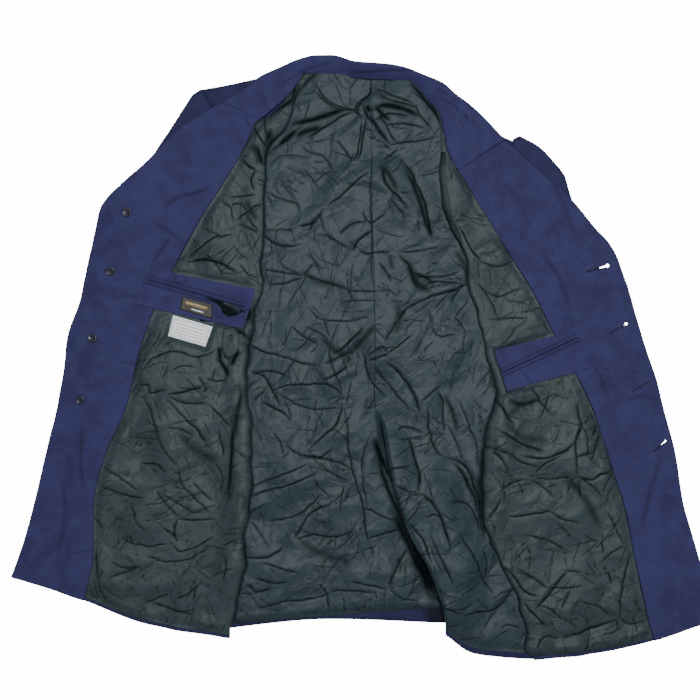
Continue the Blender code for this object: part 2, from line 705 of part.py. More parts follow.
def backs(collection):
    """Both back panels and their linings."""
    plan = panel(BACK_RIGHT, 3, BACK_STEPS)
    centre_seam = plan[:, 0]
    floor = np.concatenate([plan, np.zeros((*plan.shape[:2], 1))], axis=2)
    up = np.array([0, 0, 1.0])
    wall("back_right", floor, floor + up * SHELL_WALL, collection, NAVY_OUTSIDE, WOOL_ROUGH)
    plan = panel(LINING_BACK_RIGHT, 3, LINING_STEPS)
    sew_beside(plan, centre_seam, 0.0)
    loft = loft_of(plan, LINING_UNDER_FRONT, BACK_FOLDS)
    low = np.concatenate([plan, (INNER_LAYER + loft)[..., None]], axis=2)
    wall("lining_back_right", low, low + up * LINING_WALL, collection, SATIN, SATIN_ROUGH)

    plan = panel(BACK_LEFT, 4, BACK_LEFT_STEPS)
    sew_beside(plan, centre_seam, GAP)
    rise = folds(plan[..., 0], plan[..., 1], VENT_FOLDS)
    face = np.concatenate([plan, rise[..., None]], axis=2)
    inside = normals(face)
    wall("back_left", face, moved(face, inside, SHELL_WALL), collection, NAVY_OUTSIDE, WOOL_ROUGH)
    part = slice(1, None), slice(0, LEFT_LINING_END + 1)
    offset = INNER_LAYER + loft_of(plan[part], LINING_UNDER_FRONT, BACK_FOLDS)
    low = moved(face[part], inside[part], offset)
    high = moved(face[part], inside[part], offset + LINING_WALL)
    wall("lining_back_left", low, high, collection, SATIN, SATIN_ROUGH)


def front(label, table, sleeve_table, back_table, side, slit, collection, cutters):
    """One front: outer cloth, facing, lining round the side fold, side panel and pocket.

    Returns the test of height of its outer face, its grid and its outer cloth and facing.
    """
    over_buttons = label == "right"
    grid, top, inward = front_grid(table, sleeve_table, back_table, side, over_buttons)
    inside = normals(grid, side)
    apex = top + 2
    shell = grid[:, : apex + 1]
    outer = wall(
        f"front_{label}", shell, moved(shell, inside[:, : apex + 1], SHELL_WALL),
        collection, NAVY_OUTSIDE, WOOL_ROUGH,
    )
    part = slice(None), slice(0, SEAM_COLUMN + 1)
    face = pulled(grid[part], SEAM_COLUMN, SEAM_COLUMN - 1, GAP / 2)
    facing = wall(
        f"facing_{label}",
        moved(face, inside[part], INNER_LAYER),
        moved(face, inside[part], INNER_LAYER + FACING_WALL),
        collection, NAVY, WOOL_ROUGH,
    )
    lined = pulled(grid[:, SEAM_COLUMN:], 0, 1, GAP / 2)
    lined[0] += (lined[1] - lined[0]) * LINING_HEM_SHARE
    direction = inside[:, SEAM_COLUMN:]
    to_seam = np.linalg.norm(lined[..., :2] - lined[:, :1, :2], axis=-1)
    fold = top - SEAM_COLUMN
    to_fold = np.linalg.norm(lined[..., :2] - lined[:, fold : fold + 1, :2], axis=-1)
    slack = smooth(to_seam / LOFT_REACH) * smooth(to_fold / LOFT_REACH)
    slack[:, fold:] = 0
    slack[0] = 0
    offset = INNER_LAYER + slack * folds(lined[..., 0], lined[..., 1], FRONT_FOLDS)
    wall(
        f"lining_front_{label}",
        moved(lined, direction, offset),
        moved(lined, direction, offset + LINING_WALL),
        collection, SATIN_FRONT, SATIN_ROUGH,
    )
    side_panel(f"side_{label}", grid, apex, inward, back_table, side, collection)
    height = draped(grid, top + 1)
    counts = row_counts(np.array(table, float)[:, :10].reshape(len(table), 5, 2))
    inside_pocket(
        f"inside_pocket_{label}", grid, counts, top, slit, height, collection, cutters
    )
    return height, outer, facing


def collar(collection):
    """The collar: its stand rises from the neck, rolls over and its fall is folded under."""
    lines = np.array(COLLAR, float)
    counts = row_counts(lines[:, :4].reshape(-1, 2, 2), COLLAR_STEP)
    rows = refine(lines, counts)
    outer, seam = rows[:, None, 0:2], rows[:, None, 2:4]
    section = np.array(COLLAR_SECTION)
    plan = seam + (outer - seam) * section[None, :, :1]
    height = rows[:, 4:7] @ section[:, 1:].T
    face = np.concatenate([plan, height[..., None]], axis=2)
    inside = moved(face, normals(face, -1), -COLLAR_WALL)
    wall("collar", inside, face, collection, NAVY, WOOL_ROUGH)


def turned_mesh(name, profile, colour, roughness, metallic):
    """A profile from the top of the axis, down the outer side, to the foot of the axis."""
    mesh = bpy.data.meshes.new(name)
    points = [(radius * MM, 0.0, height * MM) for radius, height in profile]
    mesh.from_pydata(points, [(i, i + 1) for i in range(len(points) - 1)], [])
    mesh.materials.append(material_of(name, colour, roughness, metallic))
    return mesh


def spin(name, mesh, place, direction, collection):
    """A turned piece stood on a point of the cloth, along its normal."""
    piece = bpy.data.objects.new(name, mesh)
    collection.objects.link(piece)
    piece.location = Vector(place) * MM
    piece.rotation_euler = Vector((0, 0, 1)).rotation_difference(Vector(direction)).to_euler()
    screw = piece.modifiers.new("turn", "SCREW")
    screw.steps = screw.render_steps = TURN_STEPS
    screw.use_merge_vertices = True
    screw.merge_threshold = 0.00001
    screw.use_smooth_shade = True
    return piece


def buttons(height, collection, cutters):
    """Four domed buttons, face down on the floor, and their backing buttons on the facing."""
    arc = [math.radians(90 * step / DOME_STEPS) for step in range(DOME_STEPS + 1)]
    dome = [(0, SHANK_TOP), (SHANK_RADIUS, SHANK_TOP), (SHANK_RADIUS, DOME_BACK)]
    dome += [(DOME_RADIUS - DOME_LIP, DOME_BACK)]
    dome += [(DOME_RADIUS * math.cos(a), DOME_RIM * (1 - math.sin(a))) for a in arc[:-1]]
    dome += [(0, 0)]
    well = BACKING_THICKNESS - BACKING_WELL
    edge = BACKING_RADIUS
    disc = [(0, well), (edge * 0.6, well), (edge * 0.7, BACKING_THICKNESS)]
    disc += [(edge * 0.88, BACKING_THICKNESS), (edge, BACKING_THICKNESS * 0.6)]
    disc += [(edge, BACKING_THICKNESS * 0.3), (edge * 0.9, 0), (0, 0)]
    dome_mesh = turned_mesh("button_dome", dome, BRASS, BRASS_ROUGH, 1.0)
    disc_mesh = turned_mesh("button_backing", disc, BUTTON_DARK, BUTTON_ROUGH, 0.0)
    for number, (x, y) in enumerate(BUTTONS, 1):
        spin(f"button_front_{number}", dome_mesh, (x, y, 0), (0, 0, 1), collection)
        foot = float(height(x, y)) + POCKET_LAYER
        backing = spin(f"button_backing_{number}", disc_mesh, (x, y, foot), (0, 0, 1), collection)
        cut(backing, thread_holes(f"thread_holes_{number}", (x, y, foot), cutters))


def thread_holes(name, place, cutters):
    """Four upright round cutters in a square."""
    shape = bmesh.new()
    for sx, sy in ((-1, -1), (-1, 1), (1, -1), (1, 1)):
        spot = Vector((sx, sy, 0)) * THREAD_HOLE_PITCH / 2
        bmesh.ops.create_cone(
            shape, cap_ends=True, segments=HOLE_STEPS, radius1=THREAD_HOLE_RADIUS * MM,
            radius2=THREAD_HOLE_RADIUS * MM, depth=3 * BACKING_THICKNESS * MM,
            matrix=Matrix.Translation((Vector(place) + spot) * MM),
        )
    mesh = bpy.data.meshes.new(name)
    shape.to_mesh(mesh)
    shape.free()
    return add_cutter(name, mesh, cutters)


def labels(height, collection):
    """Two bare labels, one on the pocket's band and one on the lining below it."""
    shares = np.linspace(0, 1, 4)
    for name, corners, base, colour in (
        ("label_pocket", LABEL_POCKET, LABEL_ON_POCKET, LABEL_DARK),
        ("label_care", LABEL_CARE, LAYERS + GAP, LABEL_PALE),
    ):
        a, b, c, d = (np.array(corner, float) for corner in corners)
        plan = between(between(d, c, shares), between(a, b, shares), shares)
        patch(name, plan, height, base + SLACK, LABEL_WALL, collection, colour, LABEL_ROUGH)


def new_collection(name):
    collection = bpy.data.collections.new(name)
    bpy.context.scene.collection.children.link(collection)
    return collection


def main():
    for leftover in list(bpy.data.objects):
        bpy.data.objects.remove(leftover)
    jacket = new_collection("dress_uniform_jacket")
    cutters = new_collection("cutters")
    backs(jacket)
    sleeve("right", SLEEVE_RIGHT, 1, jacket)
    sleeve("left", SLEEVE_LEFT, -1, jacket)
    collar(jacket)
    height, _, _ = front(
        "right", FRONT_RIGHT, SLEEVE_RIGHT, BACK_RIGHT, 1, SLIT_RIGHT, jacket, cutters
    )
    _, cloth, facing = front(
        "left", FRONT_LEFT, SLEEVE_LEFT, BACK_LEFT, -1, SLIT_LEFT, jacket, cutters
    )
    for number, ends in enumerate(BUTTONHOLES, 1):
        outline = slot_outline(ends, HOLE_WIDTH / 2, EYELET_RADIUS)
        cutter = prism(f"buttonhole_{number}", outline, cutters)
        cut(cloth, cutter)
        cut(facing, cutter)
    buttons(height, jacket, cutters)
    labels(height, jacket)


main()
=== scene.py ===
# Dress uniform jacket, single-breasted, laid open on its back with the inside up.
# All tables are in millimetres seen from above, with x,y pairs: +X to the wearer's left, +Y to the neck.
import math
import bmesh
import bpy
import numpy as np
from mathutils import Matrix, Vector
from mathutils.bvhtree import BVHTree
from mathutils.geometry import delaunay_2d_cdt
from numpy.linalg import norm


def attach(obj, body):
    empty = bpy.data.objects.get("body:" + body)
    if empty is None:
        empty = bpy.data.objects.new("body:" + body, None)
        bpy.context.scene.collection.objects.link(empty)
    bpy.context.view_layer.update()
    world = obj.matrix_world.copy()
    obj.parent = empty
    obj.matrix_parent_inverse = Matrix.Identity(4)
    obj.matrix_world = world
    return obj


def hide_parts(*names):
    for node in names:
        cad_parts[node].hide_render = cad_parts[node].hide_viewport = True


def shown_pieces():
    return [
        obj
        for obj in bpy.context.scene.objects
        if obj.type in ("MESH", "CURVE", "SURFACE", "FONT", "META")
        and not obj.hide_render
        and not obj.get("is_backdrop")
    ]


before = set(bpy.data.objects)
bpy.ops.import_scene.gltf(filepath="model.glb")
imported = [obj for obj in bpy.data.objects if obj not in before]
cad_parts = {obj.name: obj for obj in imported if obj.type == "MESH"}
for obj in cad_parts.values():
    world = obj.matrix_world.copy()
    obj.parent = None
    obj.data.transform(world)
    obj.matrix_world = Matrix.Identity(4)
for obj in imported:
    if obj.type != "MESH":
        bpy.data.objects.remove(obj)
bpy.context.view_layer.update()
print("frame loaded:", len(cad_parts), "nodes")

mm = 0.001
body = "root"

# walls and levels of the layers that lie on each other
layer = {
    "shellWall": 1.2,
    "inner": 1.8,  # a facing's lower face, above the outer face of its front
    "facingWall": 1.0,
    "liningWall": 0.5,
    "gap": 0.3,  # between two cloths that meet at a seam
    "sideOuterFace": 5.9,
    "sideFoldRadius": 2.95,
    "overSleeve": 6.3,
    "sleeveHeight": 5.4,
}

# fronts: edge, button line, facing seam, middle of the lining, side fold, radius of the fold
frontRightLines = [
    (-495,-307, -460,-318, -394,-340, -302,-374, -187,-391, 2),
    (-475,-248, -441,-259, -380,-278, -288,-307, -178,-326, 3),
    (-458,-181, -424,-190, -379,-206, -288,-227, -170,-248, 3.5),
    (-442,-114, -409,-122, -363,-136, -274,-158, -163,-174, 4),
    (-427,-54, -397,-59, -335,-72, -253,-90, -163,-105, 3.5),
    (-414,32, -380,27, -314,13, -243,-6, -168,-20, 2.5),
    (-400,74, -366,75, -292,74, -225,54, -160,37, 2),
    (-394,98, -360,100, -279,102, -215,83, -152,64, 2),
    (-388,122, -355,120, -267,125, -206,108, -145,93, 2),
    (-379,172, -342,168, -246,164, -195,150, -144,150, 2),
    (-369,208, -332,202, -222,206, -181,203, -142,203, 2),
    (-302,276, -274,272, -183,267, -162,262, -141,260, 2),
    (-253,323, -231,318, -164,302, -149,299, -134,298, 1.6),
    (-218,344, -200,340, -153,327, -131,328, -110,330, 1.2),
    (-200,354, -185,349, -145,333, -115,354, -91,384, 1),
]
frontLeftLines = [
    (495,-366, 470,-373, 404,-396, 314,-415, 233,-421, 2),
    (477,-316, 452,-322, 388,-340, 300,-354, 216,-346, 2.5),
    (458,-253, 434,-259, 374,-274, 286,-286, 188,-284, 3),
    (442,-195, 418,-201, 362,-214, 272,-220, 163,-216, 3.5),
    (432,-131, 408,-135, 341,-146, 265,-150, 169,-144, 3.5),
    (416,-69, 392,-71, 318,-76, 251,-76, 183,-62, 3),
    (400,-13, 376,-13, 288,-13, 237,-33, 188,-50, 2),
    (391,14, 367,16, 272,18, 226,-3, 180,-21, 2),
    (384,37, 360,37, 260,37, 216,20, 170,8, 2),
    (368,88, 344,88, 236,86, 195,80, 149,80, 2),
    (346,146, 322,146, 200,145, 170,142, 138,142, 2),
    (314,186, 292,188, 172,191, 146,190, 118,191, 2),
    (290,216, 268,218, 152,223, 132,223, 110,223, 1.6),
    (244,257, 226,256, 136,250, 124,252, 108,254, 1.2),
    (195,302, 180,294, 128,261, 117,274, 107,290, 1),
]
# right back: centre seam and vent, middle, side seam and armhole
backRightLines = [
    (118,-372, -50,-366, -237,-384),
    (98,-304, -75,-307, -223,-312),
    (67,-234, -78,-241, -215,-248),
    (46,-172, -85,-186, -204,-192),
    (30,-112, -92,-130, -195,-130),
    (12,-59, -92,-59, -190,-59),
    (13,10, -92,10, -184,10),
    (12,94, -92,94, -178,102),
    (10,158, -92,158, -178,158),
    (9,220, -92,220, -176,214),
    (8,290, -92,290, -187,276),
    (8,346, -92,344, -203,326),
    (6,397, -75,402, -229,374),
]
# left back: centre seam and vent fold, middle, end of the lining, side
backLeftLines = [
    (111,-386, 152,-414, 236,-422, 267,-418),
    (111,-379, 152,-406, 236,-414, 266,-410),
    (106,-346, 172,-364, 232,-362, 258,-358),
    (90,-300, 150,-307, 214,-304, 246,-302),
    (57,-234, 120,-241, 191,-238, 230,-238),
    (37,-172, 105,-180, 184,-176, 219,-178),
    (26,-113, 108,-118, 196,-112, 214,-115),
    (14,-59, 108,-59, 196,-54, 209,-52),
    (14,10, 104,10, 186,16, 206,18),
    (13,94, 90,94, 170,90, 205,88),
    (12,150, 86,150, 156,140, 200,120),
    (10,214, 70,214, 134,205, 191,164),
    (9,276, 66,272, 127,256, 188,214),
    (9,340, 60,330, 120,300, 195,262),
    (8,397, 63,391, 108,351, 205,302),
]
# right back lining: centre seam and vent edge, middle, end under the side fold
liningBackRightLines = [
    (108,-350, -50,-361, -201,-374),
    (92,-292, -64,-300, -195,-309),
    (64,-222, -69,-230, -190,-237),
    (45,-180, -75,-181, -183,-174),
    (24,-114, -78,-115, -184,-99),
    (12,-59, -80,-59, -188,-31),
    (13,10, -83,13, -180,37),
    (12,94, -78,94, -163,93),
    (10,158, -75,158, -162,150),
    (9,220, -75,220, -160,209),
    (8,290, -71,290, -156,270),
    (8,346, -61,344, -128,324),
    (6,397, -50,401, -94,402),
]
# sleeves pressed flat: outer side, inner side, from the cuff to the crown
sleeveRightLines = [
    (-394,-286, -262,-300),
    (-388,-200, -234,-211),
    (-383,-130, -220,-138),
    (-374,-59, -208,-65),
    (-362,18, -201,10),
    (-337,115, -192,97),
    (-317,200, -180,156),
    (-307,239, -178,212),
    (-298,279, -189,271),
    (-274,318, -201,318),
    (-244,365, -229,375),
]
sleeveLeftLines = [
    (396,-318, 264,-328),
    (387,-200, 240,-206),
    (382,-115, 230,-122),
    (370,-31, 223,-36),
    (352,31, 221,24),
    (334,102, 220,85),
    (317,155, 208,120),
    (300,192, 193,164),
    (286,230, 190,208),
    (279,254, 193,240),
    (266,271, 198,262),
    (243,295, 204,284),
    (216,310, 206,305),
]
# collar: outer line, neck seam, heights of the seam, the roll and the folded fall
collarLines = [
    (-197,355, -144,337, 9.4,10.6,4.2),
    (-169,374, -113,360, 9.4,12,3.4),
    (-150,390, -92,386, 8,13.5,2.6),
    (-120,404, -86,397, 6.5,15,2.2),
    (-92,416, -72,397, 5.6,16,1.6),
    (-69,421, -54,394, 5.2,17.5,0),
    (-48,421, -34,392, 5.2,19,0),
    (-15,412, -8,389, 5.2,20,0),
    (9,410, 12,388, 5.2,20,0),
    (34,408, 37,387, 5.2,20,0),
    (54,404, 60,385, 5.4,19,0),
    (83,393, 77,371, 5.8,17.5,1.8),
    (107,383, 91,355, 6,16.5,2.2),
    (125,368, 104,338, 7,15.5,2.2),
    (144,354, 109,315, 8,14,2.6),
    (166,334, 114,290, 9,12.5,3.4),
    (192,304, 129,266, 9.4,10.6,4.2),
]
# collar's section: place from the seam to the outer line, shares of the three heights
collarSection = [
    (0, 1, 0, 0),
    (0.28, 0.55, 0.45, 0),
    (0.58, 0.20, 0.80, 0),
    (0.82, 0, 1, 0),
    (0.95, 0, 0.84, 0.16),
    (1, 0, 0.50, 0.50),
    (0.95, 0, 0.12, 0.88),
    (0.80, 0, 0, 1),
    (0.45, 0, 0, 1),
]
# hollows and deep shade beside the raised vent edge, on the right lining alone
ventGap = [
    (6,9,0, 21,-112, 22,-150, 31,-180, 48,-220, 62,-256, 82,-290, 98,-326, 104,-345),
    (5,13,0, 58,-250, 76,-285, 92,-318, 99,-340),
    (3.4,8,0, 14,-112, 20,-130, 27,-150, 36,-172),
    (2.8,11,0, 30,-150, 46,-182, 64,-222, 84,-262, 102,-310),
    (2.4,9,0, 66,-240, 88,-285, 106,-340),
    (3,13,0, 15,-115, 20,-136, 29,-158),
    (2.6,15,0, 37,-206, 51,-241, 65,-276, 82,-312, 96,-344),
    (2.6,18,0, 76,-290, 90,-326),
    (2.8,20,0, 60,-262, 84,-308, 98,-336),
]
# soft forms under the left back: start, end, width, height
ventFolds = [
    (28,-128, 111,-387, 42,7),
    (54,-150, 112,-330, 70,15),
    (98,-190, 138,-300, 40,9),
    (128,-350, 165,-390, 34,6),
]
buttonSpots = [(-332, 202), (-355, 120), (-380, 27), (-397, -59)]
buttonholeEnds = [
    (307,119, 337,128),
    (342,34, 363,47),
    (372,-47, 393,-34),
    (401,-131, 419,-117),
]
# half width of the slit, half width where it meets the eye, radius of the eye
buttonholeSizes = [(0.25, 1.5, 2.6), (0.1, 0.15, 2.2), (0.1, 0.12, 0.5), (0.25, 1.3, 1.9)]
# creases from the photograph's cloth: depth, width, lip beside it, then the line's points
creasesBackRight = [
    (2,2,0.8, 8,284, 8,214, 10,172, 10,94),
    (3.5,2.6,1.8, 4,258, -22,239, -41,222, -55,209),
    (2.6,2.4,1.2, -61,204, -69,192, -80,178),
    (2.6,2.4,1.4, -69,383, -57,365, -36,351, -13,344),
    (2.4,3,1.2, 9,372, -8,356, -12,345, -4,334),
    (3,5,1, -16,344, -36,334, -61,321, -83,307),
    (2,2.2,1.2, -43,306, -29,289, -16,272),
    (2.4,3,1, -16,272, -9,290, -4,330),
    (2.6,2.2,1, -88,296, -78,288, -61,284, -44,260),
    (1.8,2.4,1, -136,262, -122,279, -103,282, -75,278),
    (2.6,2.4,1.2, -136,232, -118,222, -97,214, -93,204),
    (1.8,1.8,0.6, -86,264, -76,253, -64,237),
    (1.4,1.8,0.6, -118,248, -106,232, -99,216),
    (2.2,2.6,1.4, -144,174, -127,160, -106,155, -86,158),
    (2.8,3.2,1.2, -92,186, -76,187, -61,202),
    (2,2.2,0.8, -139,177, -114,177, -97,180),
    (3.2,2.6,1.2, -36,172, -24,183, -12,190, -1,191),
    (2.4,2.2,1.2, -5,205, 9,188, 27,202),
    (3.2,3,1, -20,149, -10,162, 10,177),
    (2,2,0.8, -54,170, -36,160, -22,149),
    (2.6,2,1.2, -12,149, 9,146, 37,146),
    (1.8,2,0.8, -124,134, -106,121, -88,113),
    (2.8,2.2,1.2, -88,113, -79,124, -72,130),
    (2.6,2.4,1.2, -145,122, -122,118, -88,113),
    (2.6,2.4,1.2, -88,113, -64,107, -29,97),
    (2.4,2.2,1, -136,99, -113,102, -88,111),
    (1.8,2,0.8, -31,93, -5,93, 41,94),
    (1.6,2,0.8, -36,78, -10,80, 20,78),
    (1.4,2,0.6, -15,134, -20,108, -23,85),
    (2,2.2,1, -80,74, -61,55, -29,51, 9,55),
    (2.8,2.4,1, -102,43, -86,30, -66,18),
    (2,2.2,0.8, -83,43, -64,34, -47,20),
    (3.6,4,1.6, -46,2, -27,16, -15,30, -2,43),
    (3,2.6,1.2, -59,-8, -38,-2, -16,9),
    (2.2,2.4,1, -176,23, -145,10, -113,-1, -61,-13),
    (3.2,2.8,1.2, -61,-33, -41,-24, -24,-12),
    (4,3.4,1.6, -162,-18, -142,-29, -128,-50, -115,-71),
    (3,2.4,1.2, -159,-23, -136,-19, -106,-27),
    (2.8,3,1.2, -145,-62, -125,-71, -106,-82),
    (2.6,2.4,1.8, -134,-50, -106,-37, -66,-36, -38,-47, -30,-62),
    (2,2.2,1.2, -125,-48, -103,-61, -71,-71, -34,-71),
    (3.2,2.8,1.6, -30,-64, -38,-88, -58,-107, -80,-128),
    (2.4,2.2,1.2, -30,-66, -24,-94, -22,-130, -16,-164, -6,-202, 1,-241, 12,-286),
    (2.8,2.6,1.2, -114,-120, -94,-134, -68,-139, -44,-127),
    (3.2,2.4,1.2, -89,-138, -57,-141, -19,-156),
    (3.2,2.6,1.4, -164,-195, -136,-184, -99,-174, -66,-159),
    (2.8,2.4,1.4, -163,-181, -136,-170, -106,-159, -80,-148),
    (2.4,2.2,1, -66,-145, -46,-163, -24,-172),
    (2.6,2.6,1.2, -138,-229, -106,-223, -80,-205, -61,-188),
    (3.6,3,1.4, -100,-254, -88,-234, -76,-214, -50,-205),
    (2.4,2.6,1, -97,-255, -72,-248, -47,-250, -16,-241),
    (3.2,3,1, -170,-276, -148,-279, -125,-272, -114,-262),
    (2.2,2.4,1, -145,-286, -120,-292, -92,-303),
    (3,3.2,1, -156,-309, -134,-313, -108,-313),
    (2.8,3,1, -167,-316, -150,-327, -131,-321),
    (2.6,2.4,1.2, -153,-349, -117,-342, -83,-337, -52,-330),
    (3,2.4,1, -66,-314, -55,-330, -51,-354),
    (2.2,2.4,1.4, -52,-324, -29,-323, 13,-326),
    (2.8,2.6,1, -22,-312, 4,-316, 29,-324),
    (3,2.8,1.2, 2,-254, 26,-243, 51,-239),
    (2.2,2.6,1.2, -5,-211, 20,-218, 48,-227),
    (3,3.4,1.8, 57,-262, 46,-286, 31,-323),
    (2.4,2.2,1.2, 31,-323, 51,-334, 74,-338),
    (1.6,2,0.8, -83,337, -92,324, -106,310),
    (1.6,2,0.8, -78,360, -83,344, -93,326),
    (2.6,2.6,1.6, -134,286, -115,304, -94,321),
    (2,2.2,1, -31,-178, -34,-200, -36,-214),
    (1.8,2,0.8, -127,-102, -120,-118, -113,-136),
    (1.8,2.2,0.8, -29,-59, -50,10, -36,52),
    (1.8,2.2,0.8, -162,-227, -145,-248, -134,-267),
    (1.8,2.2,0.8, 9,-102, -5,-158, 1,-214),
]
creasesBackLeft = [
    (2.4,2.4,1.2, 15,369, 34,359, 74,348),
    (2.8,2.6,1.2, 9,380, 37,365, 68,352),
    (3.6,2.8,1.6, 6,338, 19,318, 30,298),
    (3.2,2.6,1.4, 19,341, 31,318, 43,298),
    (2.4,2.4,1, 33,296, 65,300, 102,310),
    (2.4,2.6,1.2, 26,321, 55,327, 85,320),
    (2.2,2.4,1, 68,352, 76,338, 93,321),
    (4.2,4.2,1.8, 18,270, 27,248, 40,229, 58,205),
    (5.4,4.6,2.2, 48,279, 66,254, 78,225, 85,195, 93,163),
    (2.2,2.4,1, 34,220, 44,206, 54,194),
    (2,2,1, 41,148, 69,149, 102,155),
    (4.6,5,1.6, 46,144, 59,131, 65,111, 76,94),
    (3,2.4,1.2, 65,114, 93,114, 135,122),
    (3,2.6,1.2, 74,97, 99,107, 135,104),
    (2.6,3,1.2, 90,83, 115,93, 141,103),
    (2.4,3,1, 20,134, 31,120, 38,106),
    (2.2,2.2,1, 141,103, 127,92, 120,79),
    (2,2.2,1, 144,80, 130,66, 121,55),
    (3,3.2,1.8, 135,97, 104,89, 65,74, 37,50),
    (2.8,3,1.8, 59,69, 41,47, 26,22),
    (2.2,2.2,1, 90,46, 104,31, 125,34),
    (2,2.2,1, 121,59, 132,47, 141,33),
    (2,2.2,1, 146,10, 125,8, 115,-6),
    (3,2.6,1.6, 1,2, 9,10, 22,15, 31,6),
    (2.6,2.4,1.4, 31,6, 48,18, 68,33),
    (3.4,2.8,1.6, 4,-4, 20,2, 31,6),
    (5,4,2.2, 27,-4, 46,-19, 61,-38, 75,-75),
    (3.6,2.8,1.6, 12,-9, 29,-31, 46,-54, 62,-74),
    (2.6,2.4,1.2, -5,13, 1,-12, 13,-37, 29,-57),
    (2.6,2.4,1.2, 76,-61, 92,-50, 106,-38),
    (3.2,2.6,1.4, 99,-43, 107,-62, 111,-102),
    (3.6,2.8,1.4, 88,-65, 86,-99, 92,-124, 108,-139),
    (2.8,2.8,1.6, 44,-104, 51,-96, 65,-99, 78,-107),
    (5.6,5,2, 57,-110, 66,-138, 74,-169, 74,-186),
    (4.4,3.6,1.8, 74,-186, 96,-206, 106,-227, 117,-265),
    (2.8,2.6,1.4, 26,-166, 43,-152, 61,-148),
    (6,5.4,2.4, 121,-145, 139,-167, 153,-194, 158,-216),
    (4.8,3.6,2, 110,-139, 132,-146, 152,-174, 159,-206, 163,-255),
    (2.6,2.4,1.2, 131,-62, 144,-94, 155,-130, 163,-172),
    (3,3,1.4, 113,-200, 135,-201, 152,-218, 163,-247),
    (3,2.6,1.2, 160,-267, 169,-286, 163,-309),
    (2.6,2.4,1.2, 82,-222, 94,-216, 106,-220),
    (2.4,2.6,1.2, 125,-241, 144,-274, 158,-304, 180,-331),
    (2.6,2.6,1.2, 85,-314, 104,-340, 132,-356),
    (3.4,2.6,1.4, 132,-356, 163,-355, 184,-348, 200,-335),
    (2.2,2.2,1, 188,-380, 198,-373, 215,-377),
    (2,2.4,1, 43,-172, 62,-186, 74,-183),
    (2.2,2.6,1.2, 62,-227, 79,-253, 90,-284),
    (2.2,2.6,1, 90,-248, 104,-278, 121,-312),
    (2,2.2,1, 113,-88, 127,-115, 135,-144),
]
creasesFrontRight = [
    (3,3,1.6, -156,324, -148,307, -136,290),
    (2.4,2.2,1.2, -145,344, -139,321, -134,302),
    (2.6,2.4,1.4, -173,279, -162,268, -153,262),
    (3.4,3,1.6, -153,262, -159,246, -153,232),
    (2.4,2.4,1.2, -150,248, -139,240, -145,226),
    (2.4,2.2,1.2, -190,222, -170,225, -153,227),
    (2.4,2.2,1.2, -188,211, -176,214, -164,204),
    (3.6,3.4,1.6, -181,192, -166,202, -153,212, -142,216),
    (2.6,2.4,1.2, -166,202, -159,187, -148,172),
    (3,2.6,1.2, -176,188, -162,180, -150,172),
    (2,2.2,1, -201,220, -188,206, -183,191),
    (1.8,2,0.8, -225,181, -212,173, -200,169),
    (3,2.4,1.4, -248,132, -232,150, -209,166, -181,173),
    (1.8,2,0.8, -243,167, -234,158, -226,148),
    (4.2,5,1.4, -246,132, -226,136, -206,131, -181,120),
    (2.6,2.4,1.2, -177,131, -164,118, -149,110),
    (2.4,2.2,1, -222,146, -209,128, -201,114),
    (2,2.2,0.8, -232,150, -243,142, -248,131),
    (2.6,2.2,1.4, -307,-54, -298,-74, -288,-108, -274,-136, -261,-150),
    (2.8,2.2,1.4, -261,-150, -253,-176, -236,-194, -218,-219),
    (2.4,2.2,1.2, -276,-54, -257,-76, -226,-110, -212,-130),
    (3,2.4,1.2, -250,-85, -234,-100, -220,-117),
    (3,2.8,1.2, -274,-50, -248,-46, -226,-40),
    (2.4,2.4,1, -272,-52, -243,-62, -220,-62),
    (2.8,2.2,1, -232,-27, -220,-44, -226,-48),
    (2.6,2.2,1, -220,-29, -209,-31, -192,-33),
    (2.4,2.4,1.4, -312,-19, -295,-1, -262,8, -232,2, -205,13),
    (2.4,2.6,1.2, -318,-37, -302,-37, -298,-51, -276,-43),
    (3,2.6,1.2, -220,-65, -201,-82, -184,-97),
    (2,2.2,0.8, -274,-99, -257,-100, -240,-106),
    (2,2.2,0.8, -368,-148, -342,-167, -314,-188),
    (2.2,2.4,1, -365,-180, -341,-190, -307,-195),
    (2.8,3,1.2, -313,-146, -290,-148, -278,-160),
    (2.8,2.4,1.4, -289,-183, -275,-204, -260,-220),
    (2.2,2.2,1, -284,-186, -262,-201, -236,-216),
    (3,2.4,1.2, -260,-222, -243,-226, -212,-226),
    (2.4,2.4,1, -260,-222, -265,-239, -262,-255),
    (2.4,2.6,1.2, -282,-234, -268,-244, -260,-255),
    (2.2,2.4,1, -379,-220, -373,-229, -366,-240),
    (3.2,2.4,1.2, -318,-257, -299,-262, -276,-257),
    (2.2,2.4,1, -337,-247, -327,-257, -313,-261),
    (2.8,2.4,1.4, -304,-276, -276,-284, -246,-281, -220,-264),
    (2.6,2.6,1.4, -271,-255, -257,-270, -232,-262, -212,-248),
    (2.2,2.2,1.2, -355,-286, -335,-292, -312,-290),
    (2,2.2,1, -358,-309, -338,-298, -312,-290),
    (2.6,2.4,1.2, -310,-342, -290,-334, -274,-330),
    (3.2,3.2,1.4, -299,-340, -276,-348, -243,-356),
    (2.4,2.4,1.2, -262,-337, -243,-328, -229,-312),
    (2,2.4,1, -376,-262, -374,-295, -368,-326, -356,-348),
    (2,2.2,1, -328,-200, -316,-227, -302,-241),
    (2,2.4,1, -206,-144, -198,-166, -201,-191),
    (3.2,3.4,1.2, -204,-102, -198,-122, -195,-138),
    (2,2.4,1, -239,-169, -226,-188, -215,-200),
    (2,2.2,1, -197,-267, -190,-286, -195,-312),
    (1.8,2,1, -271,-20, -254,-12, -237,-12),
]
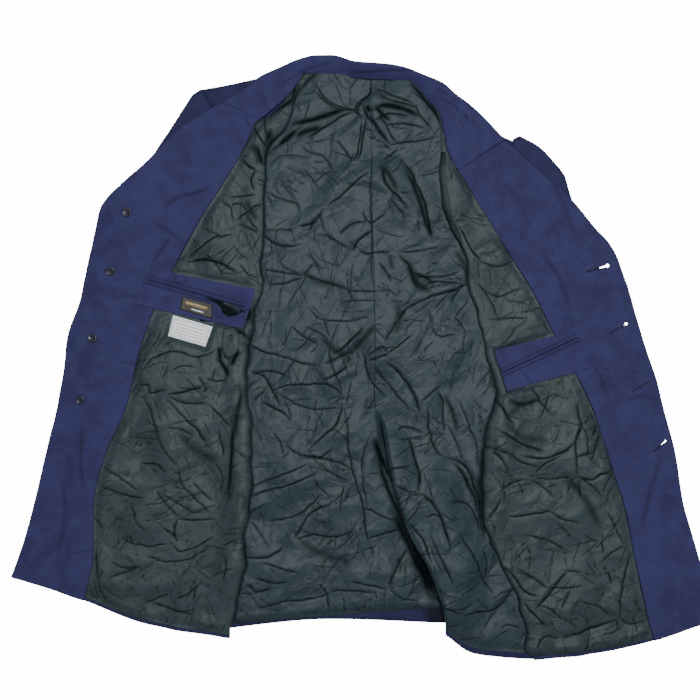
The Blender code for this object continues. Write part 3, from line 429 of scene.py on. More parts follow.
creasesFrontLeft = [
    (2.4,2.6,1.6, 127,184, 141,162, 162,132),
    (1.8,3,1.2, 155,134, 177,125, 205,134),
    (1.6,3,1.2, 163,94, 188,86, 219,97),
    (1.8,3,1, 169,55, 197,55, 227,55),
    (1.6,3,1.2, 152,103, 174,80, 188,50),
    (1.4,2.6,1, 125,200, 144,195, 166,190),
    (2,2.2,1, 188,18, 200,30, 208,41),
    (2.6,2.4,1.4, 226,-38, 241,-55, 260,-82),
    (2,2.2,1, 257,-48, 253,-65, 239,-88),
    (4.4,3.6,2.2, 184,-43, 188,-71, 204,-92),
    (4.8,4.4,2.4, 184,-99, 205,-114, 227,-124, 248,-130),
    (3.8,3.2,1.8, 296,-62, 298,-93, 292,-117),
    (4,3.4,2, 292,-117, 272,-131, 244,-139, 214,-135),
    (3,2.4,1.8, 174,-125, 197,-132, 219,-145, 239,-150),
    (3.4,2.8,1.4, 176,-128, 187,-144, 195,-159),
    (2.6,2.4,1.4, 236,-158, 251,-145, 270,-136),
    (3,2.4,1.4, 293,-163, 290,-136, 296,-94),
    (3.6,3.2,1.6, 293,-163, 312,-169, 331,-162, 346,-158),
    (2.6,2.4,1.4, 293,-163, 255,-169, 227,-167),
    (2.6,2.4,1.4, 227,-167, 205,-172, 186,-183),
    (3.2,2.8,1.2, 230,-169, 244,-181, 260,-192),
    (2.4,2.2,1.2, 293,-163, 296,-180, 299,-197),
    (2.4,2.2,1.2, 293,-163, 317,-180, 332,-194),
    (2.4,2.2,1, 293,-163, 284,-174, 279,-188),
    (2.2,2.2,1, 348,-158, 337,-172, 331,-190),
    (2.4,2.4,1.2, 186,-194, 176,-211, 170,-225),
    (3.4,2.8,1.4, 198,-220, 227,-219, 258,-212),
    (3,2.4,1.4, 258,-212, 272,-222, 296,-230),
    (2.8,2.4,1.2, 230,-248, 253,-255, 276,-268),
    (2,2.2,1, 265,-227, 275,-241, 284,-253),
    (1.8,2.2,0.8, 303,-247, 314,-254, 324,-257),
    (3,2.4,1.4, 209,-293, 230,-306, 253,-320),
    (3,2.4,1.4, 253,-320, 275,-321, 303,-318),
    (3.6,3,1.8, 188,-285, 208,-307, 222,-326, 239,-330),
    (3.4,2.8,1.6, 219,-337, 232,-355, 253,-376),
    (3.6,3,1.6, 354,-363, 352,-340, 358,-312, 370,-272),
    (4.6,4.6,1.8, 354,-363, 328,-373, 300,-383, 270,-391),
    (2.8,2.4,1.4, 267,-391, 251,-388, 234,-404),
    (2.8,2.4,1.4, 354,-363, 370,-372, 390,-369),
    (2.6,2.4,1.2, 328,-300, 337,-298, 342,-317),
    (2.2,2.4,1, 326,-284, 342,-270, 359,-262),
    (2.4,2.6,1.2, 338,-214, 348,-239, 359,-258),
    (2,2.4,1, 300,-340, 323,-346, 342,-359),
    (2.4,2.6,1.2, 195,-416, 209,-407, 227,-411, 241,-419),
    (2.4,2.2,1, 272,-348, 278,-335, 284,-326),
    (2.4,2.8,1.2, 312,-74, 320,-94, 314,-113),
    (2.2,2.4,1, 328,-102, 320,-127, 312,-146),
    (2.2,2.4,1, 298,-88, 309,-115, 306,-138),
    (2,2.4,1, 239,-340, 258,-348, 275,-365),
    (2,2.2,0.8, 328,-390, 345,-382, 359,-374),
]
woolCreases = [
    (1.6,9,1.2, -284,206, -260,223, -234,230, -212,239),
    (1.4,8,1, -293,190, -276,176, -262,169),
    (1.4,9,1, -271,167, -285,150, -295,131),
    (1.2,5,0.8, -169,338, -162,324, -156,316),
    (1.8,6,1, -195,355, -167,363, -145,362, -135,344),
    (1.4,9,1, -393,-88, -396,-136, -394,-186),
    (1.2,8,0.8, -360,80, -330,86, -302,80),
    (1.2,6,0.8, -344,-4, -324,-9, -316,-15),
    (1.4,9,1, 241,150, 267,115, 286,66),
    (1.4,9,1, 412,-136, 396,-186, 384,-241),
    (1.2,8,0.8, 251,262, 272,220, 293,164),
    (1,9,0.8, -428,-158, -419,-214, -428,-270),
    (1.2,7,0.8, 314,-4, 328,-31, 337,-59),
    (1.2,8,0.8, 362,-59, 384,-54, 407,-59),
    (1,8,0.6, 188,248, 216,214, 230,178),
]
# folds that gather at the neck, and broad hollows in shadow
deepShadows = [
    (3.4,2.6,1.6, -73,374, -54,356, -31,346, -4,346),
    (4,2.8,1.6, 9,388, 6,370, -10,356, -15,344, -4,337),
    (5,4.2,1.8, -5,356, 2,337, 10,328, 25,309, 34,297),
    (3.4,2.4,1.4, 2,337, -4,309, -8,281, -15,274),
    (2.4,4,0.8, 12,330, 34,340, 60,336),
    (2.4,11,0, 8,346, 30,352, 56,345, 78,336),
    (2.2,10,0, -96,318, -110,304, -122,296),
    (2,14,0, -60,322, -84,316, -98,308),
    (1.6,13,0, 20,268, 34,252, 44,232),
    (2.4,7,0, 62,386, 80,362, 100,338, 108,322),
    (2.6,8,0, -82,400, -96,384, -101,360, -129,342, -154,326),
    (2.2,9,0, 12,352, 24,338, 34,330),
    (2.2,8,0, -151,294, -147,280, -142,266),
    (2.6,8,0, 160,-120, 163,-180, 165,-260),
    (2.4,8,0, -182,-85, -184,-140, -190,-200),
    (2,9,0, 45,392, 20,396, -10,396),
    (2,7,0, 60,120, 84,112, 96,100),
    (2.6,9,0, -205,1, -196,-12, -188,-28),
    (2.4,7,0, -155,92, -158,69, -162,44),
    (2,9,0, -181,40, -169,33, -160,19),
    (1.6,9,0, 173,-6, 177,-29, 186,-57),
    (1.6,8,0, -66,397, -80,388, -92,372),
    (1.6,9,0, 69,377, 83,365, 96,349),
    (1.8,10,0, 195,-59, 216,-65, 244,-57),
    (1.4,14,0, -64,31, -43,10, -19,-1),
    (1.2,12,0, -92,122, -66,106, -33,100),
    (1.6,9,0, 110,-52, 121,-76, 128,-104),
    (2.2,12,0, -106,326, -85,330, -64,335, -43,342, -24,349),
    (2,10,0, 18,351, 37,349, 55,344),
    (3,11,0, 1,352, 6,342),
    (2.4,12,0, -130,318, -138,293, -142,270),
    (1.6,16,0, -159,296, -150,285, -146,268),
    (1.9,9,0, 54,265, 65,244, 75,218, 82,195, 90,170),
    (2.6,8,0, 85,190, 92,170),
    (1.8,14,0, 59,134, 65,117, 76,100, 93,92),
    (1.2,10,0, 34,144, 38,122),
    (1.6,14,0, 15,47, -5,24, -22,6),
    (1,16,0, 43,80, 48,52, 37,31),
    (2.2,8,0, -90,383, -96,366, -106,349),
    (2,6,0, 83,368, 97,344, 106,321, 108,298, 110,262),
    (1.6,6,0, 113,214, 121,190, 132,164, 138,134),
    (1.8,12,0, 158,-158, 160,-200, 163,-241),
    (1.4,13,0, -166,220, -159,204, -150,190),
    (1.8,10,0, -170,-38, -176,-74, -181,-115),
    (1.5,12,0, -170,24, -162,4, -167,-20),
    (2.4,9,0, -204,16, -202,6, -201,-5),
    (2.6,10,0, -174,10, -180,1, -186,-12),
    (1.4,12,0, 125,150, 141,122, 144,103),
    (1.2,18,0, 188,-88, 216,-110, 251,-115),
    (1.3,16,0, 272,-158, 307,-200, 328,-241),
    (1.2,18,0, -260,-102, -232,-132, -201,-144),
    (1.2,16,0, -92,-255, -50,-278, -13,-284),
]
# collar: its wrinkles and the groove of its stand
collarCreases = [
    (1.6,2.6,1.2, 104,362, 122,350, 138,336, 156,322),
    (1.4,2.4,1, 96,372, 112,366, 128,352),
    (1.2,2.2,0.8, 118,338, 130,330, 140,318),
    (1.4,3,0.8, -40,402, -10,396, 30,398, 62,398, 92,388),
    (1,3.2,0.8, -120,376, -100,392, -72,404, -44,410),
    (1.2,2.6,0.8, -150,372, -140,356, -136,340, -138,326),
    (0.9,2.6,0.7, 72,404, 90,396, 106,384),
    (1,2.8,0.8, 128,366, 140,352, 150,342),
]
# soft forms of the linings: start, end, width, height
backForms = [
    (0,260, -75,181, 34,6),
    (-145,125, -29,99, 34,5),
    (-150,16, -57,-15, 34,6),
    (-124,-41, -57,-38, 32,5),
    (-29,-67, -83,-130, 34,6),
    (-150,-190, -66,-158, 36,5),
    (-160,-280, -100,-298, 34,5),
    (-99,-253, -52,-207, 34,6),
    (30,262, 60,205, 34,6),
    (80,222, 96,160, 32,6),
    (140,106, 48,66, 36,6),
    (40,0, 84,-60, 34,6),
    (86,-80, 106,-140, 34,6),
    (134,-67, 150,-160, 34,6),
]
frontForms = [
    (-292,-88, -230,-205, 36,5),
    (-345,-170, -300,-175, 30,4),
    (-330,-235, -270,-270, 36,4),
    (200,-126, 262,-136, 36,5),
    (286,-60, 292,-150, 34,5),
    (292,-150, 344,-180, 34,4),
    (214,-200, 290,-226, 36,4),
    (240,-262, 310,-316, 38,4),
]


def smooth(value):
    value = np.clip(value, 0.0, 1.0)
    return value * value * (3 - 2 * value)


def slopes(knots, values):
    # slopes that keep a smooth curve from swinging past its points
    steps = np.diff(knots).reshape(-1, *[1] * (values.ndim - 1))
    rise = np.diff(values, axis=0) / steps
    same = rise[1:] * rise[:-1] > 0
    total = np.where(same, rise[1:] + rise[:-1], 1.0)
    inner = np.where(same, 2 * rise[1:] * rise[:-1] / total, 0.0)
    return np.concatenate([rise[:1], inner, rise[-1:]])


def refine(points, counts):
    # smooth rows through a table's rows, counts[i] steps between rows i and i + 1
    spans = norm(np.diff(points[..., :2], axis=0), axis=-1)
    knots = np.concatenate([[0.0], np.cumsum(spans.reshape(len(spans), -1).mean(axis=1))])
    pieces = [np.linspace(knots[i], knots[i + 1], n, endpoint=False) for i, n in enumerate(counts)]
    stops = np.concatenate(pieces + [knots[-1:]])
    slope = slopes(knots, points)
    i = np.clip(np.searchsorted(knots, stops, side="right") - 1, 0, len(counts) - 1)
    width = (knots[i + 1] - knots[i]).reshape(-1, *[1] * (points.ndim - 1))
    u = (stops - knots[i]).reshape(width.shape) / width
    start = (1 + 2 * u) * (1 - u) ** 2 * points[i] + u * (1 - u) ** 2 * width * slope[i]
    end = u * u * (3 - 2 * u) * points[i + 1] + u * u * (u - 1) * width * slope[i + 1]
    return start + end


def stepCounts(points, step):
    spans = norm(np.diff(points[..., :2], axis=0), axis=-1)
    return [max(1, round(span / step)) for span in spans.reshape(len(spans), -1).mean(axis=1)]


def panelGrid(table, columns, step):
    # a grid of (x, y) through a table, with the columns and the rows where its lines lie
    points = np.array(table, float)[:, : 2 * columns].reshape(len(table), columns, 2)
    rowCounts = stepCounts(points, step)
    rows = refine(points, rowCounts).swapaxes(0, 1)
    columnCounts = stepCounts(rows, step)
    grid = refine(rows, columnCounts).swapaxes(0, 1)
    return grid, np.cumsum([0, *columnCounts]), np.cumsum([0, *rowCounts])


def toLine(x, y, ax, ay, bx, by):
    # distance from the line between two points
    span = (bx - ax) ** 2 + (by - ay) ** 2
    share = np.clip(((x - ax) * (bx - ax) + (y - ay) * (by - ay)) / span, 0, 1)
    return np.hypot(x - ax - share * (bx - ax), y - ay - share * (by - ay))


def softForms(x, y, table):
    return sum(rise * smooth(1 - toLine(x, y, *ends) / width) for *ends, width, rise in table)


def normalsOf(points, side=1):
    normal = side * np.cross(np.gradient(points, axis=1), np.gradient(points, axis=0))
    return normal / norm(normal, axis=-1, keepdims=True)


def moved(points, normal, offset):
    return points + normal * np.asarray(offset, float)[..., None]


def lifted(plan, height):
    return np.concatenate([plan, np.broadcast_to(height, plan.shape[:2])[..., None]], axis=2)


def neighbours(height):
    wide = np.pad(height, 1, mode="edge")
    return wide[:-2, 1:-1], wide[2:, 1:-1], wide[1:-1, :-2], wide[1:-1, 2:]


def lowest(height, times):
    for _ in range(times):
        height = np.min([*neighbours(height), height], axis=0)
    return height


def blurred(height, times):
    for _ in range(times):
        height = (sum(neighbours(height)) + 4 * height) / 8
    return height


def uneven(x, y, size, seed):
    # soft random values between -1 and 1, about size apart
    count = 256
    knots = np.random.default_rng(seed).uniform(-1, 1, (count, count))
    u, v = x / size + count / 2, y / size + count / 2
    i, j = np.floor(u).astype(int), np.floor(v).astype(int)
    s, t = smooth(u - i), smooth(v - j)
    i, j = i % (count - 1), j % (count - 1)
    low = knots[i, j] * (1 - s) + knots[i + 1, j] * s
    high = knots[i, j + 1] * (1 - s) + knots[i + 1, j + 1] * s
    return low * (1 - t) + high * t


def heightsFrom(tree, x, y):
    # heights of a surface under the points, looked up from well above it
    above, down = 200.0, Vector((0, 0, -1))
    hits = [tree.ray_cast(Vector((px, py, above)), down)[0] for px, py in zip(np.ravel(x), np.ravel(y))]
    levels = [0.0 if hit is None else hit.z for hit in hits]
    return np.reshape(levels, np.shape(x))


def cornersOf(grid):
    # the numbers of a grid's points, laid out as the grid
    return np.arange(grid[..., 0].size).reshape(grid.shape[:2])


def gridQuads(corner):
    quads = np.stack([corner[:-1, :-1], corner[:-1, 1:], corner[1:, 1:], corner[1:, :-1]], -1)
    return quads.reshape(-1, 4)


def treeOf(grid):
    return BVHTree.FromPolygons(grid.reshape(-1, 3).tolist(), gridQuads(cornersOf(grid)).tolist())


facet = {"lean": 38, "squeeze": 0.72, "scatter": 0.44, "reach": 660.0}


def facets(x, y, gap, rise, seed):
    # flat facets of random height that meet in sharp edges, longer one way, as in crumpled satin
    rng = np.random.default_rng(seed)
    lean, reach = np.radians(facet["lean"]), facet["reach"]
    u = (x * np.cos(lean) + y * np.sin(lean)) * facet["squeeze"]
    v = y * np.cos(lean) - x * np.sin(lean)
    count = np.arange(2 * reach / gap)
    cell = np.stack(np.meshgrid(count, count), -1).reshape(-1, 2)
    spots = -reach + gap * (cell + rng.uniform(-facet["scatter"], facet["scatter"], cell.shape))
    heights = rng.uniform(-rise, rise, len(spots))
    low, high = np.array([(u.min(), v.min()), (u.max(), v.max())]) + [[-2 * gap], [2 * gap]]
    near = ((spots > low) & (spots < high)).all(axis=1)
    spots, heights = spots[near], heights[near]
    corners, _, faces, origin = delaunay_2d_cdt([Vector(s) for s in spots], [], [], 0, 0.0001)[:4]
    raised = [(c.x, c.y, heights[o[0]]) for c, o in zip(corners, origin)]
    return heightsFrom(BVHTree.FromPolygons(raised, faces), u, v)


crease = {
    "narrowest": 0.75,
    "trough": 0.5,  # share of a row's depth that is sunk
    "lip": 0.6,
    "finest": 0.85,  # a mark is never finer than the grid can show
    "fullDark": 2.2,  # depth from which a crease is fully dark
}


def creaseRelief(x, y, table):
    # narrow troughs with a soft lip beside them, fading at both ends: height, and painted shade along them
    height, mark = np.zeros(x.shape), np.zeros(x.shape)
    for depth, width, lip, *line in table:
        points = np.array(line, float).reshape(-1, 2)
        points = refine(points, [4] * (len(points) - 1)) if len(points) > 2 else points
        reach = min(5 * width, 24) + 8
        low, high = points.min(axis=0) - reach, points.max(axis=0) + reach
        near = (x > low[0]) & (x < high[0]) & (y > low[1]) & (y < high[1])
        if not near.any():
            continue
        px, py = x[near], y[near]
        away, turn, along = np.full(px.shape, 1e9), np.zeros(px.shape), np.zeros(px.shape)
        travelled = 0.0
        for (ax, ay), (bx, by) in zip(points[:-1], points[1:]):
            sx, sy = bx - ax, by - ay
            length = max(1e-6, math.hypot(sx, sy))
            place = np.clip(((px - ax) * sx + (py - ay) * sy) / length**2, 0, 1)
            dx, dy = px - ax - place * sx, py - ay - place * sy
            distance = np.hypot(dx, dy)
            closer = distance < away
            away = np.where(closer, distance, away)
            turn = np.where(closer, np.sign(sx * dy - sy * dx), turn)
            along = np.where(closer, travelled + place * length, along)
            travelled += length
        share = along / travelled
        fade = np.clip(6 * share * (1 - share), 0, 1) ** 0.7
        narrow = width if width > 3.2 else max(crease["narrowest"], 0.35 * width + 0.4)
        trough = np.exp(-away / narrow)
        ridge = np.where(turn > 0, np.exp(-away / (3.2 * width)), 0.2 * np.exp(-away / (5 * width)))
        height[near] += fade * (crease["lip"] * lip * ridge - crease["trough"] * depth * trough)
        # the mark is painted shade, darkest along the trough
        spread = 0.32 * width + 0.25
        seen = max(crease["finest"], spread)
        dark = np.exp(-((away / seen) ** 2)) * min(1, 1.25 * spread / seen)
        mark[near] = np.maximum(mark[near], fade * dark * min(1, depth / crease["fullDark"]))
    return height, mark


# scattered creases: how many, how far apart their directions drift, and their sizes
scatter = {"reach": 500, "turn": 1.9, "sway": 0.5, "bend": 0.1, "lip": 0.5, "margin": 40}
straySatin = {
    "count": 3300, "drift": 65.0, "lean": 2.3, "length": (8, 46), "depth": (0.5, 2.5), "width": (0.6, 1.3),
}
strayWool = {
    "count": 420, "drift": 160.0, "lean": 0.4, "length": (14, 60), "depth": (0.3, 1.1), "width": (1.5, 3.0),
}


def strayCreases(x, y, seed, stray):
    # short creases scattered over the cloth, in directions that drift slowly
    rng = np.random.default_rng(seed)
    rows, margin = [], scatter["margin"]
    for cx, cy in rng.uniform(-scatter["reach"], scatter["reach"], (stray["count"], 2)):
        drift = float(uneven(cx, cy, stray["drift"], seed + 1))
        angle = stray["lean"] + scatter["turn"] * drift + rng.normal(0, scatter["sway"])
        half = rng.uniform(*stray["length"]) / 2
        bend = rng.normal(0, scatter["bend"]) * half
        ux, uy = math.cos(angle), math.sin(angle)
        depth = rng.uniform(*stray["depth"])
        width = rng.uniform(*stray["width"])
        start, end = (cx - ux * half, cy - uy * half), (cx + ux * half, cy + uy * half)
        if x.min() - margin < cx < x.max() + margin and y.min() - margin < cy < y.max() + margin:
            rows.append((depth, width, scatter["lip"] * depth, *start, cx - uy * bend, cy + ux * bend, *end))
    return rows


def newPiece(name, data):
    piece = bpy.data.objects.new(name, data)
    bpy.context.scene.collection.objects.link(piece)
    return piece


def meshOf(name, points, faces, material, uv=None, mark=None):
    # points in millimetres, faces as lists of corners
    corners = np.fromiter((corner for face in faces for corner in face), np.int32)
    counts = np.fromiter(map(len, faces), np.int32)
    mesh = bpy.data.meshes.new(name)
    mesh.vertices.add(len(points))
    mesh.vertices.foreach_set("co", (np.asarray(points) * mm).astype(np.float32).ravel())
    mesh.loops.add(len(corners))
    mesh.loops.foreach_set("vertex_index", corners)
    mesh.polygons.add(len(counts))
    mesh.polygons.foreach_set("loop_start", (np.cumsum(counts) - counts).astype(np.int32))
    mesh.update(calc_edges=True)
    mesh.shade_smooth()
    if uv is not None:
        clothUv = mesh.uv_layers.new(name="cloth")
        clothUv.data.foreach_set("uv", uv[corners].astype(np.float32).ravel())
    if mark is not None:
        spots = mesh.attributes.new("crease", "FLOAT", "POINT")
        spots.data.foreach_set("value", mark.astype(np.float32).ravel())
    mesh.materials.append(material)
    mesh.validate()
    return newPiece(name, mesh)


def around(corner, rowPicks, columnPicks):
    # the rim of a grid, split where a coarser grid of the picked rows and columns has corners
    last = corner.shape[0] - 1, corner.shape[1] - 1
    runs = [corner[0, a : b + 1] for a, b in zip(columnPicks[:-1], columnPicks[1:])]
    runs += [corner[a : b + 1, last[1]] for a, b in zip(rowPicks[:-1], rowPicks[1:])]
    back = columnPicks[::-1]
    runs += [corner[last[0], b : a + 1][::-1] for a, b in zip(back[:-1], back[1:])]
    back = rowPicks[::-1]
    runs += [corner[b : a + 1, 0][::-1] for a, b in zip(back[:-1], back[1:])]
    return runs


def clothWall(name, low, high, material, mark=None, skip=1):
    # a closed cloth wall between two grids, the lower one coarser by skip; UVs in metres of cloth
    (rows, columns), corner = high.shape[:2], cornersOf(high)
    rowPicks = sorted({*range(0, rows, skip), rows - 1})
    columnPicks = sorted({*range(0, columns, skip), columns - 1})
    picks = np.ix_(rowPicks, columnPicks)
    under = corner.size + np.arange(len(rowPicks) * len(columnPicks)).reshape(len(rowPicks), -1)
    faces = gridQuads(corner).tolist() + gridQuads(under)[:, ::-1].tolist()
    lowRuns = around(under, range(len(rowPicks)), range(len(columnPicks)))
    for run, below in zip(around(corner, rowPicks, columnPicks), lowRuns):
        faces.append([*run[::-1].tolist(), *below.tolist()])
    across, upward = np.gradient(high, axis=1), np.gradient(high, axis=0)
    if (np.cross(across, upward) * (high - low)).sum() < 0:
        faces = [face[::-1] for face in faces]
    sideways = norm(np.diff(high, axis=1), axis=-1).mean(axis=0)
    along = norm(np.diff(high, axis=0), axis=-1).mean(axis=1)
    u = np.concatenate([[0], np.cumsum(sideways)]) * mm
    v = np.concatenate([[0], np.cumsum(along)]) * mm
    uv = np.stack(np.broadcast_arrays(u[None, :], v[:, None]), -1)
    uv = np.concatenate([uv.reshape(-1, 2), uv[picks].reshape(-1, 2)])
    points = np.concatenate([high.reshape(-1, 3), low[picks].reshape(-1, 3)])
    marks = None if mark is None else np.concatenate([mark.ravel(), mark[picks].ravel()])
    return meshOf(name, points, faces, material, uv, marks)


def surfaceArea(grid):
    # area of one side of a grid, in square metres
    a, b, c, d = grid[:-1, :-1], grid[:-1, 1:], grid[1:, 1:], grid[1:, :-1]
    halves = norm(np.cross(b - a, c - a), axis=-1) + norm(np.cross(c - a, d - a), axis=-1)
    return float(halves.sum() / 2) * mm * mm


def applied(piece):
    # the evaluated shape becomes a plain mesh, and the modifiers go
    bpy.context.view_layer.update()
    shaped = piece.evaluated_get(bpy.context.evaluated_depsgraph_get())
    mesh = bpy.data.meshes.new_from_object(shaped)
    piece.modifiers.clear()
    old, piece.data = piece.data, mesh
    mesh.name = piece.name
    bpy.data.meshes.remove(old)


def reworked(mesh, work):
    shape = bmesh.new()
    shape.from_mesh(mesh)
    work(shape)
    shape.to_mesh(mesh)
    shape.free()


def cutThrough(piece, outlines):
    # cuts upright holes of the given outlines through a piece, and closes what the cut leaves open
    below, tall = -0.03, 0.09

    def triangulated(shape):
        bmesh.ops.triangulate(shape, faces=[face for face in shape.faces if len(face.verts) > 4])

    def prisms(shape):
        for outline in outlines:
            face = shape.faces.new([shape.verts.new((x * mm, y * mm, below)) for x, y in outline])
            raised = bmesh.ops.extrude_face_region(shape, geom=[face])["geom"]
            tops = [part for part in raised if isinstance(part, bmesh.types.BMVert)]
            bmesh.ops.translate(shape, verts=tops, vec=(0, 0, tall))
        bmesh.ops.recalc_face_normals(shape, faces=shape.faces)

    def closed(shape):
        bmesh.ops.holes_fill(shape, edges=[edge for edge in shape.edges if edge.is_boundary])

    reworked(piece.data, triangulated)
    mesh = bpy.data.meshes.new("cutter")
    reworked(mesh, prisms)
    cutter = newPiece("cutter", mesh)
    modifier = piece.modifiers.new("cut", "BOOLEAN")
    modifier.operation = "DIFFERENCE"
    modifier.solver = "EXACT"
    modifier.object = cutter
    applied(piece)
    bpy.data.objects.remove(cutter)
    bpy.data.meshes.remove(mesh)
    reworked(piece.data, closed)


class Wire:
    # one value in a material's graph, so that shader maths reads as plain sums
    def __init__(self, finish, socket):
        self.finish, self.socket = finish, socket

    def math(self, operation, *others):
        return self.finish.node("ShaderNodeMath", {"operation": operation}, *[self, *others])

    def __add__(self, other):
        return self.math("ADD", other)

    def __mul__(self, other):
        return self.math("MULTIPLY", other)

    def __sub__(self, other):
        return self.math("SUBTRACT", other)

    def __truediv__(self, other):
        return self.math("DIVIDE", other)

    def __rsub__(self, other):
        return self * -1.0 + other

    __radd__, __rmul__ = __add__, __mul__

    def clamped(self):
        return self.math("MAXIMUM", 0.0).math("MINIMUM", 1.0)

    def ramp(self, low, high):
        # 0 at low, 1 at high, soft between
        settings = {"interpolation_type": "SMOOTHSTEP"}
        return self.finish.node("ShaderNodeMapRange", settings, self, low, high, 0.0, 1.0)


class Finish:
    # a Principled material built with short calls
    def __init__(self, name, **values):
        self.material = bpy.data.materials.new(name)
        self.material.use_nodes = True
        self.nodes = self.material.node_tree.nodes
        self.links = self.material.node_tree.links
        self.shader = self.nodes["Principled BSDF"]
        for label, value in values.items():
            self.shader.inputs[label.replace("_", " ")].default_value = value

    def node(self, kind, settings, *values, output=0, **named):
        node = self.nodes.new(kind)
        for label, value in settings.items():
            setattr(node, label, value)
        sockets = [socket for socket in node.inputs if socket.enabled]
        pairs = list(zip(sockets, values))
        pairs += [(node.inputs[label.replace("_", " ")], value) for label, value in named.items()]
        for socket, value in pairs:
            if isinstance(value, Wire):
                self.links.new(value.socket, socket)
            elif value is not None:
                socket.default_value = value
        return Wire(self, node.outputs[output])

    def uv(self, scale=(1, 1, 1)):
        place = self.node("ShaderNodeUVMap", {"uv_map": "cloth"})
        return self.node("ShaderNodeMapping", {}, place, Scale=scale)

    def place(self, scale=(1, 1, 1), turn=(0, 0, 0)):
        spot = self.node("ShaderNodeTexCoord", {}, output=3)
        return self.node("ShaderNodeMapping", {}, spot, Scale=scale, Rotation=turn)

    def noise(self, spot, scale, detail=3.0, rough=0.5, stretch=0.0):
        values = {"Scale": scale, "Detail": detail, "Roughness": rough, "Distortion": stretch}
        return self.node("ShaderNodeTexNoise", {}, spot, **values)

    def mark(self, name):
        return self.node("ShaderNodeAttribute", {"attribute_name": name}, output=2)

    def mix(self, share, first, second):
        # two colours, mixed by share
        node = self.nodes.new("ShaderNodeMix")
        node.data_type = "RGBA"
        for index, value in ((0, share), (6, first), (7, second)):
            if isinstance(value, Wire):
                self.links.new(value.socket, node.inputs[index])
            elif index == 0:
                node.inputs[0].default_value = value
            else:
                node.inputs[index].default_value = (*value, 1.0)
        return Wire(self, node.outputs[2])

    def bump(self, height, distance, strength=1.0, under=None):
        # raises the surface by height times distance, in metres
        values = {"Strength": strength, "Distance": distance, "Height": height, "Normal": under}
        return self.node("ShaderNodeBump", {}, **values)

    def paintShade(self, share, colour):
        # painted shade: the surface turns to a dull dark one by share, standing in for the shade in deep
        # creases
        dull = self.nodes.new("ShaderNodeBsdfDiffuse")
        dull.inputs["Color"].default_value = (*colour, 1.0)
        both = self.nodes.new("ShaderNodeMixShader")
        self.links.new(share.socket, both.inputs[0])
        self.links.new(self.shader.outputs["BSDF"], both.inputs[1])
        self.links.new(dull.outputs["BSDF"], both.inputs[2])
        self.links.new(both.outputs["Shader"], self.nodes["Material Output"].inputs["Surface"])

    def set(self, label, wire):
        self.links.new(wire.socket, self.shader.inputs[label])
        return self


def shade(colour, factor):
    return [c * factor for c in colour]


# the deep colour is painted shade for the lining's creases, and the fine wrinkles are darkened towards it
# with painted shade
satin = {
    "deep": (0.003, 0.0045, 0.005),
    "back": (0.0152, 0.0282, 0.0342),
    "front": (0.0190, 0.0308, 0.0350),
    "roughness": 0.5,
    "crumpleSize": 150.0,
    "crumpleDepth": 0.0006,
    "wrinkleSizes": (38.0, 74.0),
    "wrinkleDepth": 0.0004,
    "wrinkleShade": 0.22,
    "grain": 0.2,
    "grainSize": 1100.0,
    "weave": 420.0,
    "weaveDepth": 0.00004,
}


def satinFinish(name, colour):
    # lining satin, with a silky weave, grain and fine wrinkles; painted shade darkens its creases and
    # wrinkles
    finish = Finish(name, Specular_IOR_Level=0.32)
    spot = finish.place()
    cloud = finish.noise(spot, 9.0, 4.0)
    creaseShade = finish.mark("crease")
    wrinkles = []
    for size, turn in zip(satin["wrinkleSizes"], (0.7, 2.1)):
        place = finish.place((1.0, 0.5, 1.0), (0, 0, turn))
        away = finish.node("ShaderNodeTexVoronoi", {"feature": "DISTANCE_TO_EDGE"}, place, Scale=size)
        gather = finish.noise(finish.place(turn=(0, 0, turn)), size / 3, 2.0)
        wrinkles.append((1.0 - away * 32.0).clamped() * gather.ramp(0.5, 0.64))
    wrinkle = wrinkles[0].math("MAXIMUM", wrinkles[1])
    grain = finish.noise(spot, satin["grainSize"], 1.0)
    tone = finish.mix(cloud.ramp(0.3, 0.7), shade(colour, 0.84), shade(colour, 1.12))
    speckled = finish.mix(grain.ramp(0.3, 0.7), tone, shade(colour, 1 + 4 * satin["grain"]))
    # painted shade: the fine wrinkle lines are darkened towards the deep colour
    finish.set("Base Color", finish.mix((wrinkle * satin["wrinkleShade"]).clamped(), speckled, satin["deep"]))
    finish.set("Roughness", satin["roughness"] + 0.1 * cloud + 0.15 * creaseShade)
    crumple = finish.noise(spot, satin["crumpleSize"], 3.0, 0.55, 0.6)
    weave = finish.node("ShaderNodeTexWave", {"wave_type": "BANDS"}, finish.uv(), Scale=satin["weave"])
    fine = finish.bump(weave, satin["weaveDepth"], 0.5)
    folded = finish.bump(1.0 - wrinkle, satin["wrinkleDepth"], 0.8, fine)
    finish.set("Normal", finish.bump(crumple, satin["crumpleDepth"], 0.8, folded))
    # painted shade: where the crease mark is high, the satin turns to a dull dark surface
    finish.paintShade(creaseShade.clamped(), satin["deep"])
    return finish.material


# outside is the same navy cloth painted darker, as shade on the shell where it shows below the fronts and
# linings; creaseDark is how far painted shade darkens creases and hollows
wool = {
    "inside": (0.0236, 0.0238, 0.0840),
    "outside": (0.0150, 0.0160, 0.0580),
    "pocket": (0.0245, 0.0240, 0.0860),
    "roughness": 0.82,
    "sheen": 0.13,
    "sheenTint": (0.45, 0.52, 0.85, 1.0),
    "creaseDark": 0.92,
    "twill": 350.0,
    "twillDepth": 0.00006,
    "napSize": 900.0,
    "napDepth": 0.00022,
}


